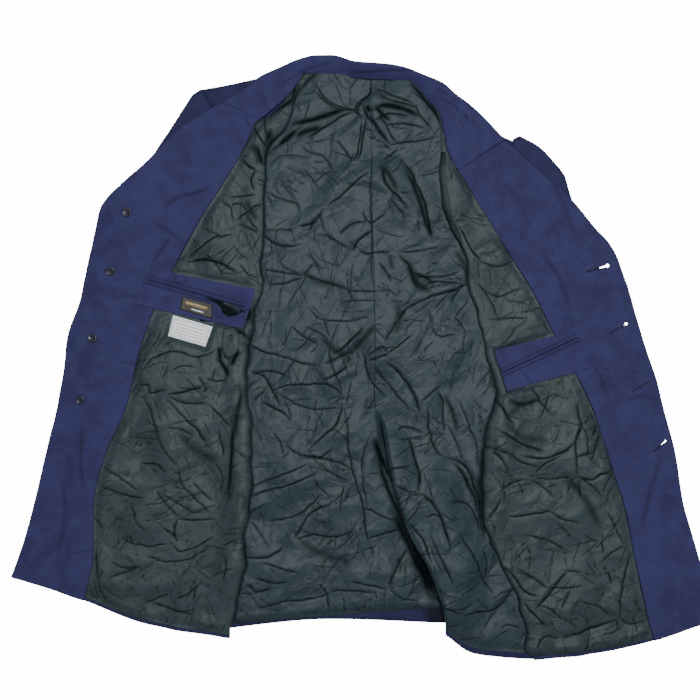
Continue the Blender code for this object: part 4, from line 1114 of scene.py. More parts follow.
def woolFinish(name, colour):
    # fine worsted twill: a slight nap, faint mottling, diagonal ribs, and painted shade in its creases and
    # hollows
    finish = Finish(
        name, Roughness=wool["roughness"], Sheen_Weight=wool["sheen"], Sheen_Roughness=0.5,
        Sheen_Tint=wool["sheenTint"], Specular_IOR_Level=0.25,
    )
    spot = finish.place()
    cloud = finish.noise(spot, 14.0, 5.0, 0.6)
    nap = finish.noise(spot, wool["napSize"], 2.0)
    creaseShade = finish.mark("crease")
    # random tone and lighter patches: the cloth's own mottling, partly painted light and shade of soft folds
    patch = finish.noise(spot, 55.0, 4.0, 0.65)
    tone = finish.mix(cloud.ramp(0.3, 0.7), shade(colour, 0.72), shade(colour, 1.12))
    mottled = finish.mix(patch.ramp(0.4, 0.7) * 0.7, tone, shade(colour, 1.35))
    fibre = finish.mix(nap.ramp(0.35, 0.65) * 0.35, mottled, shade(colour, 1.7))
    # painted shade: the crease mark darkens creases, hollows and the vent's mouth
    finish.set("Base Color", finish.mix((creaseShade * wool["creaseDark"]).clamped(), fibre, shade(colour, 0.14)))
    kind = {"wave_type": "BANDS", "bands_direction": "DIAGONAL"}
    ribs = finish.node("ShaderNodeTexWave", kind, finish.uv(), Scale=wool["twill"], Distortion=0.4)
    fine = finish.bump(ribs, wool["twillDepth"], 0.5)
    finish.set("Normal", finish.bump(nap, wool["napDepth"], 0.6, fine))
    return finish.material


def plainFinish(name, colour, roughness, metallic=0.0, grainSize=600.0, grain=0.00005, wear=0.12):
    # a smooth surface with slight unevenness, for buttons, thread and labels
    finish = Finish(name, Roughness=roughness, Metallic=metallic)
    spot = finish.place()
    cloud = finish.noise(spot, grainSize / 8, 3.0)
    tone = finish.mix(cloud.ramp(0.3, 0.7), shade(colour, 1 - wear), shade(colour, 1 + wear))
    finish.set("Base Color", tone)
    finish.set("Roughness", roughness + 0.12 * (cloud - 0.5))
    finish.set("Normal", finish.bump(finish.noise(spot, grainSize, 2.0), grain, 0.5))
    return finish.material


satinBack = satinFinish("satin_back", satin["back"])
satinFront = satinFinish("satin_front", satin["front"])
woolInside = woolFinish("wool_inside", wool["inside"])
# the outer cloth: the same wool painted darker, as shade
woolShadedOutside = woolFinish("wool_outside_shaded", wool["outside"])
woolPocket = woolFinish("wool_pocket", wool["pocket"])
threadNavy = plainFinish("thread_navy", (0.006, 0.007, 0.016), 0.6, grainSize=2500.0)
brassWorn = plainFinish("brass_worn", (0.42, 0.31, 0.13), 0.32, 1.0, wear=0.25)
buttonDark = plainFinish("button_dark", (0.018, 0.02, 0.036), 0.3)
labelDark = plainFinish("label_dark", (0.02, 0.016, 0.013), 0.55, grainSize=1500.0)
labelGold = plainFinish("label_gold", (0.35, 0.26, 0.12), 0.5, grainSize=1500.0)
labelPale = plainFinish("label_pale", (0.93, 0.96, 1.0), 0.7, grainSize=1500.0, wear=0.04)
labelInk = plainFinish("label_ink", (0.05, 0.055, 0.07), 0.7, grainSize=1500.0)
print("materials made")


cloth = {
    "liningStep": 1.5,  # spacing of a grid's points
    "liningSkip": 4,  # how much coarser the underside is
    "woolStep": 2.4,
    "woolSkip": 3,
    "hiddenStep": 9.0,
}
# satin linings: how high they lie, how they crumple, and how strong the painted shade in their creases and
# hollows is
lining = {
    "floor": 1.35,
    "rest": 3.8,
    "soft": 1.1,
    "forms": 0.55,
    "facets": ((60.0, 5.4), (29.0, 3.6), (14.0, 1.6), (7.0, 0.45)),
    "wobble": (30, 2.2),
    "fineWobble": 9,
    "creaseDepth": 1.25,
    "strayDepth": 0.8,
    "strayDark": 0.85,
    "hollow": 2.4,
    "hollowDark": 0.9,
    "foldClear": -3.0,
    "foldRise": 5.0,
}
vent = {
    "mouth": (22, -112),
    "shade": 0.97,
    "stretch": 1.6,
    "size": 600,
    "underlap": 17.0,
    "underlapShade": 18,
}
# the cut of each sheet as a smooth grid, and what it rests on
cutGrids = {}


def onJacket(piece):
    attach(piece, body)


def settled(piece, node, grid=None, *rests):
    # the piece rides on the jacket and stands for its CAD node
    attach(piece, body)
    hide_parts(node)
    if grid is not None:
        cutGrids[piece.name] = grid, [*rests]


def coverShare(x, y, corners, reach):
    # 1 inside a convex outline, falling to 0 at reach outside it
    points = np.array(corners, float)
    turn = np.sign(np.cross(points[1] - points[0], points[2] - points[1]))
    beyond = []
    for (ax, ay), (bx, by) in zip(points, np.roll(points, -1, axis=0)):
        length = math.hypot(bx - ax, by - ay)
        beyond.append(-turn * ((bx - ax) * (y - ay) - (by - ay) * (x - ax)) / length)
    return smooth(1 - np.maximum(np.max(beyond, axis=0), 0) / reach)


def liningRelief(x, y, creaseRows, forms, seed, calm):
    # height of a lining over its rest, and the painted shade in its creases and hollows
    (size, sway), fine = lining["wobble"], lining["fineWobble"]
    wx = x + uneven(x, y, size, seed) * sway + uneven(x, y, fine, seed + 3)
    wy = y + uneven(x, y, size, seed + 7) * sway + uneven(x, y, fine, seed + 4)
    height = lining["forms"] * softForms(x, y, forms)
    for turn, (size, rise) in enumerate(lining["facets"]):
        height += facets(x, y, size, rise, seed + turn)
    deep, mark = creaseRelief(wx, wy, creaseRows)
    small, smallMark = creaseRelief(wx, wy, strayCreases(x, y, seed + 11, straySatin))
    shadow, shadowMark = creaseRelief(x, y, deepShadows)
    height += lining["creaseDepth"] * deep + lining["strayDepth"] * small + shadow
    # painted shade in hollows: where the surface lies below its blurred self, it is darkened
    hollow = np.clip(blurred(height, 3) - height - 0.06, 0, 1) * lining["hollow"]
    hollow = np.clip(hollow, 0, lining["hollowDark"])
    mark = np.max([mark, shadowMark, lining["strayDark"] * smallMark, hollow], axis=0)
    return height * calm, mark * calm


def liningOffset(relief, rise):
    # distance of the lining's lower face from the outer cloth's outer face, never below its floor
    soft = lining["soft"]
    raised = lining["rest"] * rise + relief
    return lining["floor"] + soft * (np.logaddexp(0, raised / soft) - math.log(2) * (1 - rise))


def backCalm(plan, foldEdge, side):
    # how far a back lining rises, and how much it creases: 0 at its edges and below the side fold
    away = [norm(plan - line, axis=-1) for line in (plan[:1], plan[-1:], plan[:, :1])]
    edge = foldEdge[np.argsort(foldEdge[:, 1])]
    clear = side * (plan[..., 0] - np.interp(plan[..., 1], edge[:, 1], edge[:, 0])) - lining["foldClear"]
    shares = []
    for hem, neck, seam, fold in ((13, 6, 7, lining["foldRise"]), (5, 3, 3, 7.0)):
        share = smooth(away[0] / hem) * smooth(away[1] / neck) * smooth(clear / fold)
        shares.append(share * np.maximum(smooth(away[2] / seam), smooth((plan[..., 1] + 100) / 30)))
    return shares


def sewBeside(plan, edge, seam, gap, low, run):
    # moves a panel's edge column, and those near it, onto a seam above the level low
    line = np.interp(plan[:, edge, 1], seam[:, 1], seam[:, 0]) + gap
    shift = (line - plan[:, edge, 0]) * smooth((plan[:, edge, 1] - low) / run)
    away = np.abs(plan[..., 0] - plan[:, edge, None, 0])
    plan[..., 0] += shift[:, None] * smooth(1 - away / 25)


def crownRise(plan, edge):
    # lifts the back's shoulder to the sleeve's height beside the armhole
    away = norm(plan - plan[:, edge, None], axis=-1)
    return 4.0 * smooth(1 - away / 34) * smooth((plan[..., 1] - 215) / 30)


def ventShade(grid):
    # the wool is in deep shade where the vent opens between the linings
    x, y = vent["mouth"]
    away = (grid[..., 0] - x) ** 2 + ((grid[..., 1] - y) / vent["stretch"]) ** 2
    return vent["shade"] * np.exp(-away / vent["size"])


up = np.array([0, 0, 1.0])
sleeve = {
    "edge": [(0.0, 0.0), (0.0, 1.4), (0.3, 2.8), (1.3, 4.0), (3.4, 4.9), (7.0, layer["sleeveHeight"])],
    "crossRows": 16,
    "floorRows": 12,
    "floorGap": 0.6,
}


def sleeveCloth(label, table, side):
    # two sleeve halves pressed flat: the top sleeve arches over the under sleeve
    lines = np.array(table, float).reshape(-1, 2, 2)
    lines = refine(lines, stepCounts(lines, cloth["hiddenStep"]))
    outer, inner = lines[:, 0], lines[:, 1]
    width = norm(inner - outer, axis=1)
    unit = (inner - outer) / width[:, None]
    edgeWidth, top = sleeve["edge"][-1]
    near = [(np.full(len(width), inset), height) for inset, height in sleeve["edge"]]
    shares = np.linspace(0, 1, sleeve["crossRows"])[1:-1]
    middle = [(edgeWidth + (width - 2 * edgeWidth) * share, top) for share in shares]
    far = [(width - inset, height) for inset, height in near[::-1]]
    columns = [
        np.column_stack([outer + unit * place[:, None], np.full(len(width), height)])
        for place, height in near + middle + far
    ]
    face = np.stack(columns, axis=1)
    inside = moved(face, normalsOf(face, side), -layer["shellWall"])
    topSleeve = clothWall(f"top_sleeve_{label}_cloth", inside, face, woolShadedOutside)
    settled(topSleeve, f"top_sleeve_{label}", face, f"under_sleeve_{label}_cloth")
    tangent = np.gradient(outer, axis=0)
    tangent /= norm(tangent, axis=1, keepdims=True)
    slant = np.abs(tangent[:, 0] * unit[:, 1] - tangent[:, 1] * unit[:, 0])
    inset = layer["shellWall"] / slant + sleeve["floorGap"]
    floor = np.stack([
        np.column_stack([outer + unit * (inset + (width - 2 * inset) * share)[:, None], np.zeros(len(width))])
        for share in np.linspace(0, 1, sleeve["floorRows"])
    ], axis=1)
    high = floor + up * layer["shellWall"]
    underSleeve = clothWall(f"under_sleeve_{label}_cloth", floor, high, woolShadedOutside)
    settled(underSleeve, f"under_sleeve_{label}", floor, "floor")


sleeveCloth("right", sleeveRightLines, 1)
sleeveCloth("left", sleeveLeftLines, -1)
print("sleeves made")

# creaseDark and hollow set how strong the painted shade is in the facings' creases and hollows
front = {
    "ramp": 26.0,  # how gently it climbs onto the sleeve
    "sideInset": 8.0,  # from the back's seam to the side panel's turn
    "overButtons": (8.4, 48.0),
    "creaseDepth": 1.9,
    "creaseDark": 0.7,
    "waves": ((44, 1.9), (17, 0.8)),
    "facets": (60, 2.6),
    "hollow": 1.7,
    "pocketCalm": 14,
    "bandOntoFacing": 30.0,  # where the pocket's band ends on the facing
    "bandFromFold": 5.0,
}


def frontLift(x, y, sleeveTable, back, side):
    # height of a front's outer face, on the sleeve and the side panel where they lie below
    outer = np.array(sleeveTable, float)[:, :2]
    seam = np.array(back, float)[:, -2:]
    sleeveEdge = np.interp(y, outer[:, 1], outer[:, 0])
    sideEdge = np.interp(y, seam[:, 1], seam[:, 0]) - side * (front["sideInset"] + layer["sideFoldRadius"])
    ramp = front["ramp"]
    onSleeve = smooth(1.5 + side * (x - sleeveEdge) / ramp) * smooth((y - outer[0, 1] + 2 * ramp) / ramp)
    onSide = smooth(1.6 + side * (x - sideEdge) / ramp)
    onCrown = smooth((y - outer[7, 1]) / ramp)
    return layer["overSleeve"] * np.maximum(np.maximum(onSleeve, onSide), onCrown)


def buttonLift(x, y):
    # how far the domed buttons underneath push the right front up
    rise, reach = front["overButtons"]
    return rise * np.max([smooth(1 - np.hypot(x - bx, y - by) / reach) for bx, by in buttonSpots], axis=0)


def turnedColumns(place, direction, radius, angles, foot):
    # columns round a fold whose lowest level is foot
    columns = []
    for angle in np.radians(angles):
        out = (radius * np.cos(angle))[:, None]
        columns.append(np.column_stack([place + direction * out, foot + radius * (1 + np.sin(angle))]))
    return columns


def frontGrid(table, sleeveTable, back, side, overButtons, step):
    # a front's outer face, from its edge to the side fold and round under it
    lines = np.array(table, float)
    radius = refine(lines[:, 8:], stepCounts(lines[:, :10].reshape(len(table), 5, 2), step))[:, 2]
    flat, columns, rows = panelGrid(table, 5, step)
    inward = flat[:, -1] - flat[:, -2]
    inward /= norm(inward, axis=1, keepdims=True)
    reach, foldY = norm(flat - flat[:, -1:], axis=-1), flat[:, -1, 1]
    sway = uneven(foldY, foldY, 34, 5) * 2.6 + uneven(foldY, foldY, 13, 6) * 1.1
    flat -= (inward * (2.8 + radius + sway)[:, None])[:, None] * smooth(1 - reach / 26)[..., None]
    lift = frontLift(flat[..., 0], flat[..., 1], sleeveTable, back, side)
    if overButtons:
        lift = np.maximum(lift, buttonLift(flat[..., 0], flat[..., 1]))
    foldTop = (layer["sideOuterFace"] + 2 * radius)[:, None]
    toFold = norm(flat - flat[:, -1:], axis=-1)
    grid = lifted(flat, lift + smooth(1 - toFold / 34.0) * (foldTop - lift))
    angles = (72, 54, 36, 18, 0, -18, -36, -54, -72, -90)
    under = turnedColumns(flat[:, -1], inward, radius, angles, layer["sideOuterFace"])
    share = np.minimum(1, np.linspace(2.6, 0.3, len(radius)))
    for part in (0.25, 0.5, 0.75, 1.0):
        end = flat[:, -1] - inward * (16.0 * part * share)[:, None]
        under.append(np.column_stack([end, np.full(len(end), layer["sideOuterFace"])]))
    grid = np.concatenate([grid, np.stack(under, axis=1)], axis=1)
    return grid, columns, rows, inward


def pulled(points, column, toward, distance):
    points = points.copy()
    step = points[:, toward] - points[:, column]
    points[:, column] += step / norm(step, axis=1, keepdims=True) * distance
    return points


def sideCloth(label, grid, top, inward, seam, side):
    # the side panel: from the side fold back below the front, down, and in to the back's seam
    rows = grid[:, top, 1] < 98.0
    fold = pulled(grid[rows, top + 5 : top + 15], 0, 1, layer["gap"])
    inward = inward[rows]
    start = fold[:, -1, :2]
    seamLine = np.array(seam, float)[:, -2:]
    reach = np.zeros(len(start))
    for _ in range(4):
        level = start[:, 1] - inward[:, 1] * reach
        turn = np.interp(level, seamLine[:, 1], seamLine[:, 0]) - side * front["sideInset"]
        reach = (start[:, 0] - turn) / inward[:, 0]
    columns = []
    for part in (0.25, 0.5, 0.75):
        place = start - inward * (reach * part)[:, None]
        columns.append(np.column_stack([place, np.full(len(place), layer["sideOuterFace"])]))
    turn = start - inward * reach[:, None]
    radius = np.full(len(turn), layer["sideFoldRadius"])
    columns += turnedColumns(turn, -inward, radius, (90, 67, 45, 22, 0, -22, -45, -67, -90), 0.0)
    end = turn + inward * 7.1
    columns.append(np.column_stack([end, np.zeros(len(end))]))
    points = np.concatenate([fold, np.stack(columns, axis=1)], axis=1)
    inside = normalsOf(points, side)
    piece = clothWall(f"side_{label}_cloth", points, moved(points, inside, layer["shellWall"]), woolShadedOutside)
    settled(piece, f"side_{label}", points, "floor")


def bandCorners(grid, columns, rows, top):
    # corners of the inside pocket's band: at the fold and on the facing, below and above
    corners = []
    for row in (rows[6], rows[8]):
        seam, line = grid[row, columns[2], :2], grid[row, columns[1], :2]
        fold, middle = grid[row, top, :2], grid[row, columns[3], :2]
        onFacing = seam + (line - seam) / norm(line - seam) * front["bandOntoFacing"]
        byFold = fold + (middle - fold) / norm(middle - fold) * front["bandFromFold"]
        corners.append((byFold, onFacing))
    (a, b), (d, c) = corners
    return [a, b, c, d]


def frontCloth(label, table, sleeveTable, back, side, creases, seed, quiet):
    # outer cloth, facing, lining round the side fold and side panel of one front
    over = label == "right"
    grid, columns, rows, inward = frontGrid(table, sleeveTable, back, side, over, cloth["woolStep"])
    top, seam = columns[4], columns[2]
    inside = normalsOf(grid, side)
    height, mark = creaseRelief(grid[..., 0], grid[..., 1], woolCreases)
    height = front["creaseDepth"] * height[:, : seam + 1]
    mark = front["creaseDark"] * mark[:, : seam + 1]
    corners = bandCorners(grid, columns, rows, top)
    x, y = grid[:, : seam + 1, 0], grid[:, : seam + 1, 1]
    (size, rise), (smallSize, smallRise) = front["waves"]
    height += rise * uneven(x, y, size, seed) + smallRise * uneven(x, y, smallSize, seed + 1)
    height += facets(x, y, *front["facets"], seed + 2)
    small, smallMark = creaseRelief(x, y, strayCreases(x, y, seed + 3, strayWool))
    height += small
    # painted shade in the facing's creases and hollows
    hollow = np.clip((blurred(height, 5) - height - 0.02) * front["hollow"], 0, 0.55)
    mark = np.max([mark, 0.3 * smallMark, 0.6 * hollow], axis=0)
    height = (height + 1.0) * (1 - coverShare(x, y, corners, front["pocketCalm"]))
    if over:
        near = np.min([np.hypot(x - bx, y - by) for bx, by in buttonSpots], axis=0)
        height = height * smooth((near - 6) / 14)
    height = np.maximum(height, -0.5)
    shell = grid[:, : top + 6]
    shellIn = moved(shell, inside[:, : top + 6], layer["shellWall"])
    outer = clothWall(f"front_{label}_cloth", shell, shellIn, woolShadedOutside, skip=cloth["woolSkip"])
    face = pulled(grid[:, : seam + 1], seam, seam - 1, layer["gap"] / 2)
    faceIn = inside[:, : seam + 1]
    facingLow = moved(face, faceIn, layer["inner"] + height)
    facingHigh = moved(face, faceIn, layer["inner"] + layer["facingWall"] + height)
    facing = clothWall(f"facing_{label}_cloth", facingLow, facingHigh, woolInside, mark, cloth["woolSkip"])
    cutGrids[outer.name] = shell, [f"top_sleeve_{label}_cloth", f"side_{label}_cloth"]
    cutGrids[facing.name] = face, [outer.name]
    sideCloth(label, grid, top, inward, back, side)
    tree = treeOf(grid[:, : top + 1])

    grid, columns, rows, inward = frontGrid(table, sleeveTable, back, side, over, cloth["liningStep"])
    top, seam = columns[4], columns[2]
    lined = pulled(grid[:, seam:], 0, 1, layer["gap"] / 2)[3:]
    direction = normalsOf(grid, side)[3:, seam:]
    fold = top - seam
    flat, onTop = lined[..., :2], np.arange(lined.shape[1]) < fold
    edges = flat[:, :1], flat[:, fold : fold + 1], flat[:1], flat[-1:]
    toSeam, toFold, toHem, toNeck = (norm(flat - edge, axis=-1) for edge in edges)
    x, y = lined[..., 0], lined[..., 1]
    rise = smooth(toSeam / 15) * smooth(toHem / 14) * smooth(toNeck / 30)
    rise = rise * np.where(onTop, 0.7 + 0.3 * smooth(toFold / 12), 0.7)
    calm = smooth(toSeam / 4) * smooth(toHem / 5) * np.where(onTop, 1.0, 0.7)
    for outline, margin in [(corners, 9.0), *quiet]:
        rise = rise * (1 - coverShare(x, y, outline, margin))
        calm = calm * (1 - coverShare(x, y, outline, 3.5))
    for share in (rise, calm):
        share[:, fold + 4 :] *= np.linspace(1, 0, share.shape[1] - fold - 4)
        share[:, -5:] = 0.0
    relief, mark = liningRelief(x, y, creases, frontForms, seed + 20, calm)
    for outline, margin in quiet:
        mark = mark * (1 - coverShare(x, y, outline, margin))
    offset = liningOffset(relief, rise)
    low = moved(lined, direction, lowest(offset, 6))
    high = moved(lined, direction, offset + layer["liningWall"])
    satinPiece = clothWall(f"lining_front_{label}_satin", low, high, satinFront, mark, cloth["liningSkip"])
    settled(satinPiece, f"lining_front_{label}", lined, outer.name)
    print(label, "front made")
    return {
        "tree": tree, "corners": corners, "outer": outer, "facing": facing,
        "liningTree": treeOf(high[:, : fold + 1]), "facingTree": treeOf(facingHigh),
        "foldEdge": high[:, fold + 5],
        "facingEnd": facingHigh[-1] + (facingHigh[-1] - facingHigh[-2]) * 0.08,
    }


labelPocketCorners = [(-255, 85), (-213, 74), (-214, 54), (-258, 67)]
labelCareCorners = [(-268, 59), (-213, 43), (-223, 15), (-275, 30)]
right = frontCloth("right", frontRightLines, sleeveRightLines, backRightLines, 1, creasesFrontRight, 73,
                   [(labelCareCorners, 8.0)])
left = frontCloth("left", frontLeftLines, sleeveLeftLines, backLeftLines, -1, creasesFrontLeft, 91, [])


def backLining(label, face, inside, foldEdge, side, creases):
    # the lining of one back over its smooth face
    rise, calm = backCalm(face[..., :2], foldEdge, side)
    relief, mark = liningRelief(face[..., 0], face[..., 1], creases, backForms, 31, calm)
    offset = liningOffset(relief, rise)
    low = moved(face, inside, lowest(offset, 6))
    high = moved(face, inside, offset + layer["liningWall"])
    piece = clothWall(f"lining_back_{label}_satin", low, high, satinBack, mark, cloth["liningSkip"])
    settled(piece, f"lining_back_{label}", face, f"back_{label}_cloth")
    print(label, "back made")


plan = panelGrid(backRightLines, 3, cloth["hiddenStep"])[0]
centreSeam = plan[:, 0].copy()
seamLow, seamRun = -108, 22  # the centre seam is sewn from the vent up
armholeRight, armholeLeft = (np.array(table, float)[:, 2:] for table in (sleeveRightLines, sleeveLeftLines))
sewBeside(plan, -1, armholeRight, 0.05, 235, 25)
face = lifted(plan, crownRise(plan, -1))
underlap = vent["underlap"] * smooth((vent["mouth"][1] - face[:, :1, 1]) / 40)  # the vent's hidden edge
face[..., 0] += underlap * smooth(1 - np.abs(face[..., 0] - face[:, :1, 0]) / 30)
ventEdge = np.where(np.arange(face.shape[1]) < 3, underlap / vent["underlapShade"], 0)
dark = np.maximum(ventShade(face), ventEdge)
backRight = clothWall("back_right_cloth", face, face + up * layer["shellWall"], woolShadedOutside, dark)
settled(backRight, "back_right", face, "floor")
plan = panelGrid(liningBackRightLines, 3, cloth["liningStep"])[0]
sewBeside(plan, 0, centreSeam, 0.0, seamLow, seamRun)
creasesBack = creasesBackRight + creasesBackLeft
backLining("right", lifted(plan, 0), up, right["foldEdge"], 1, creasesBack + ventGap)

plan = panelGrid(backLeftLines, 4, cloth["hiddenStep"])[0]
sewBeside(plan, 0, centreSeam, 0.02, seamLow, seamRun)
sewBeside(plan, -1, armholeLeft, -0.05, 205, 25)
face = lifted(plan, softForms(plan[..., 0], plan[..., 1], ventFolds) + crownRise(plan, -1))
inner = moved(face, normalsOf(face), layer["shellWall"])
settled(clothWall("back_left_cloth", face, inner, woolShadedOutside, ventShade(face)), "back_left", face, "floor")
plan, columns, rows = panelGrid(backLeftLines, 4, cloth["liningStep"])
sewBeside(plan, 0, centreSeam, 0.02, seamLow, seamRun)
plan = plan[rows[1]:, : columns[2] + 1]
face = lifted(plan, softForms(plan[..., 0], plan[..., 1], ventFolds))
backLining("left", face, normalsOf(face), left["foldEdge"], -1, creasesBack)


def keyhole(ends, halfWidth, mouth, eye, grow=0.0, steps=15):
    # outline of a buttonhole: a slit that widens to its mouth and ends in a round eye
    start, end = Vector(ends[:2]), Vector(ends[2:])
    along = (end - start).normalized()
    aside = Vector((-along.y, along.x))
    halfWidth, mouth, eye = halfWidth + grow, mouth + grow, eye + grow
    opening = math.asin(min(0.98, mouth / eye))
    turns = np.linspace(math.pi - opening, opening - math.pi, steps)
    rounded = [end + along * eye * math.cos(t) - aside * eye * math.sin(t) for t in turns]
    start, waist = start - along * grow, start.lerp(end, 0.55)
    step = aside * halfWidth
    return [tuple(p) for p in [waist - step, start - step, start + step, waist + step, *rounded[::-1]]]


def evenly(outline, step=0.8):
    # the same closed outline with points close together
    points = np.array([*outline, outline[0]])
    spans = norm(np.diff(points, axis=0), axis=1)
    place = np.concatenate([[0], np.cumsum(spans)])
    stops = np.linspace(0, place[-1], round(place[-1] / step), endpoint=False)
    return np.column_stack([np.interp(stops, place, line) for line in points.T]).tolist()


purlRim = 0.7
holes = [keyhole(ends, *sizes) for ends, sizes in zip(buttonholeEnds, buttonholeSizes)]
rims = [keyhole(ends, *sizes, grow=purlRim) for ends, sizes in zip(buttonholeEnds, buttonholeSizes)]
purlOutlines = [evenly(rim) for rim in rims]
for piece in (left["outer"], left["facing"]):
    cutThrough(piece, holes)
for side, parts in (("right", right), ("left", left)):
    settled(parts["outer"], f"front_{side}")
    settled(parts["facing"], f"facing_{side}")
print("buttonholes cut")


# collar: profiles along its length, whose ends are joined to the facings
collar = {
    "wall": 1.8,
    "counts": [5, 5, 4, 3, 3, 3, 3, 4],  # points between the section's stations
    "topStations": 5,  # stations that show
    "joinReach": 34.0,
    "facets": (38, 1.0),
    "hollow": 1.2,
}
rows = np.array(collarLines, float)
rows = refine(rows, stepCounts(rows[:, :4].reshape(-1, 2, 2), cloth["woolStep"]))
section = np.array(collarSection)
outer, seam = rows[:, None, 0:2], rows[:, None, 2:4]
levels = rows[:, 4:7] @ section[:, 1:].T
profile = np.concatenate([seam + (outer - seam) * section[None, :, :1], levels[..., None]], 2)
profile = refine(profile.swapaxes(0, 1), collar["counts"]).swapaxes(0, 1)
onTop = sum(collar["counts"][: collar["topStations"]])
for parts, end in ((right, 0), (left, -1)):
    away = norm((rows[:, 0:2] + rows[:, 2:4] - rows[end, 0:2] - rows[end, 2:4]) / 2, axis=1)
    line = parts["facingEnd"][::-1]
    place = np.linspace(0, len(line) - 1, onTop + 1)
    joined = np.stack([np.interp(place, np.arange(len(line)), line[:, k]) for k in range(3)], 1)
    shift = joined - profile[end, : onTop + 1]
    share = smooth(1 - away / collar["joinReach"])[:, None, None]
    profile[:, : onTop + 1] += shift[None] * share
x, y = profile[:, : onTop + 1, 0], profile[:, : onTop + 1, 1]
height, dark = creaseRelief(x, y, collarCreases)
height += facets(x, y, *collar["facets"], 61) + 0.5 * uneven(x, y, 16, 62)
edges = smooth(np.minimum(np.arange(onTop + 1), onTop - np.arange(onTop + 1)) / 3.0)
profile[:, : onTop + 1, 2] += height * edges
# painted shade in the collar's creases and hollows
collarMark = np.zeros(profile.shape[:2])
hollow = np.clip((blurred(height, 3) - height) * collar["hollow"], 0, 0.5)
collarMark[:, : onTop + 1] = np.maximum(dark, hollow)
inner = moved(profile, normalsOf(profile, -1), -collar["wall"])
collarCloth = clothWall("collar_cloth", inner, profile, woolInside, collarMark)
settled(collarCloth, "collar", profile, "back_right_cloth", "back_left_cloth")
print("collar made")

pockets = {
    "step": 1.2,
    "base": 3.0,
    "wall": 1.0,
    "jet": 5.6,
    "jetRise": 1.5,
    "slitDepth": 2.0,
    "ditch": 0.8,
    "unevenness": 0.5,
    "lipRise": 1.7,
    "hollow": 1.6,
    "bagWall": 0.5,
    "bagRest": 2.05,
}
labels = {
    "wall": 0.55,
    "float": 0.2,
    "borderWidth": 0.45,
    "borderInsets": (2.0, 3.9),
    "size": (56.0, 27.0),
    "printWidth": 0.8,
    "printRise": 0.12,
}
slitRight, slitLeft = (-168, 70, -302, 108), (188, -22, 296, 28)
mouthRight = [
    (-226, 85), (-212, 81), (-195, 77), (-178, 70.5), (-164.5, 61), (-171, 63),
    (-180, 58), (-191, 56.5), (-199.5, 62), (-201, 69), (-209, 76), (-219, 81.5),
]


def gridOver(corners, step):
    # a flat grid between four corners a, b, c, d, from a to b and up to d and c
    a, b, c, d = (np.array(corner, float) for corner in corners)
    across = round(max(norm(b - a), norm(c - d)) / step)
    upward = round(max(norm(d - a), norm(c - b)) / step)
    s = np.linspace(0, 1, across + 1)[None, :, None]
    t = np.linspace(0, 1, upward + 1)[:, None, None]
    return (a * (1 - s) + b * s) * (1 - t) + (d * (1 - s) + c * s) * t


def pocketCloth(label, parts, slit, seed, mouth=None):
    # the band round a pocket's slit, with a jet on both sides of it
    plan = gridOver(parts["corners"], pockets["step"])
    x, y = plan[..., 0], plan[..., 1]
    away = toLine(x, y, *slit)
    jet = pockets["jet"]
    height = pockets["unevenness"] * uneven(x, y, 22, seed) + 0.2 * uneven(x, y, 8, seed + 1)
    height += facets(x, y, 34, 0.8, seed + 2)
    height *= smooth((away - 2) / 12) * 0.8 + 0.2
    height += pockets["jetRise"] * np.exp(-(((away - 2.6) / 1.9) ** 2))
    height -= pockets["slitDepth"] * np.exp(-away / 0.7)
    height -= pockets["ditch"] * np.exp(-(((away - jet) / 0.7) ** 2))
    # painted shade in the slit, and a dark line along each jet's seam
    mark = np.maximum(np.exp(-((away / 1.1) ** 2)), 0.6 * np.exp(-(((away - jet) / 0.8) ** 2)))
    deep, dark = creaseRelief(x, y, pocketCreases)
    height, mark = height + deep, np.maximum(mark, dark)
    if mouth is not None:
        # the lower lip stands up round the gaping mouth
        rim = np.min([toLine(x, y, *p, *q) for p, q in zip(mouth, mouth[1:] + mouth[:1])], axis=0)
        height += pockets["lipRise"] * np.exp(-((rim / 4.5) ** 2))
    floorHeight = heightsFrom(parts["tree"], x, y) + pockets["base"]
    height = np.maximum(height, -0.3)
    # painted shade in the band's hollows
    mark = np.maximum(mark, np.clip((blurred(height, 4) - height) * pockets["hollow"], 0, 0.6))
    low = lifted(plan, floorHeight)
    high = lifted(plan, floorHeight + pockets["wall"] + height)
    piece = clothWall(f"inside_pocket_{label}_band", low, high, woolPocket, mark)
    if mouth is not None:
        cutThrough(piece, [mouth])
    rests = f"facing_{label}_cloth", f"lining_front_{label}_satin"
    settled(piece, f"inside_pocket_{label}", lifted(plan, 0), *rests)
    return treeOf(high)


# creases of the bands, and those of the bag in the gaping mouth: one raised, one sunk
pocketCreases = [
    (1.5,2.2,0.7, 219,-21, 226,-30, 233,-38),
    (1.0,3.0,0.8, -268,116, -262,104, -255,104, -248,110),
    (0.8,3.0,0.6, -205,96, -199,86, -196,80),
    (0.7,2.5,0.5, 235,22, 239,8, 246,2),
]
bagCreases = [
    (-2.2,3.0,0.2, -200,76, -188,74, -178,68, -176,62),
    (2.5,1.4,0.4, -204,78, -192,70, -184,61),
]
bandRight = pocketCloth("right", right, slitRight, 201, mouthRight)
bandLeft = pocketCloth("left", left, slitLeft, 211)

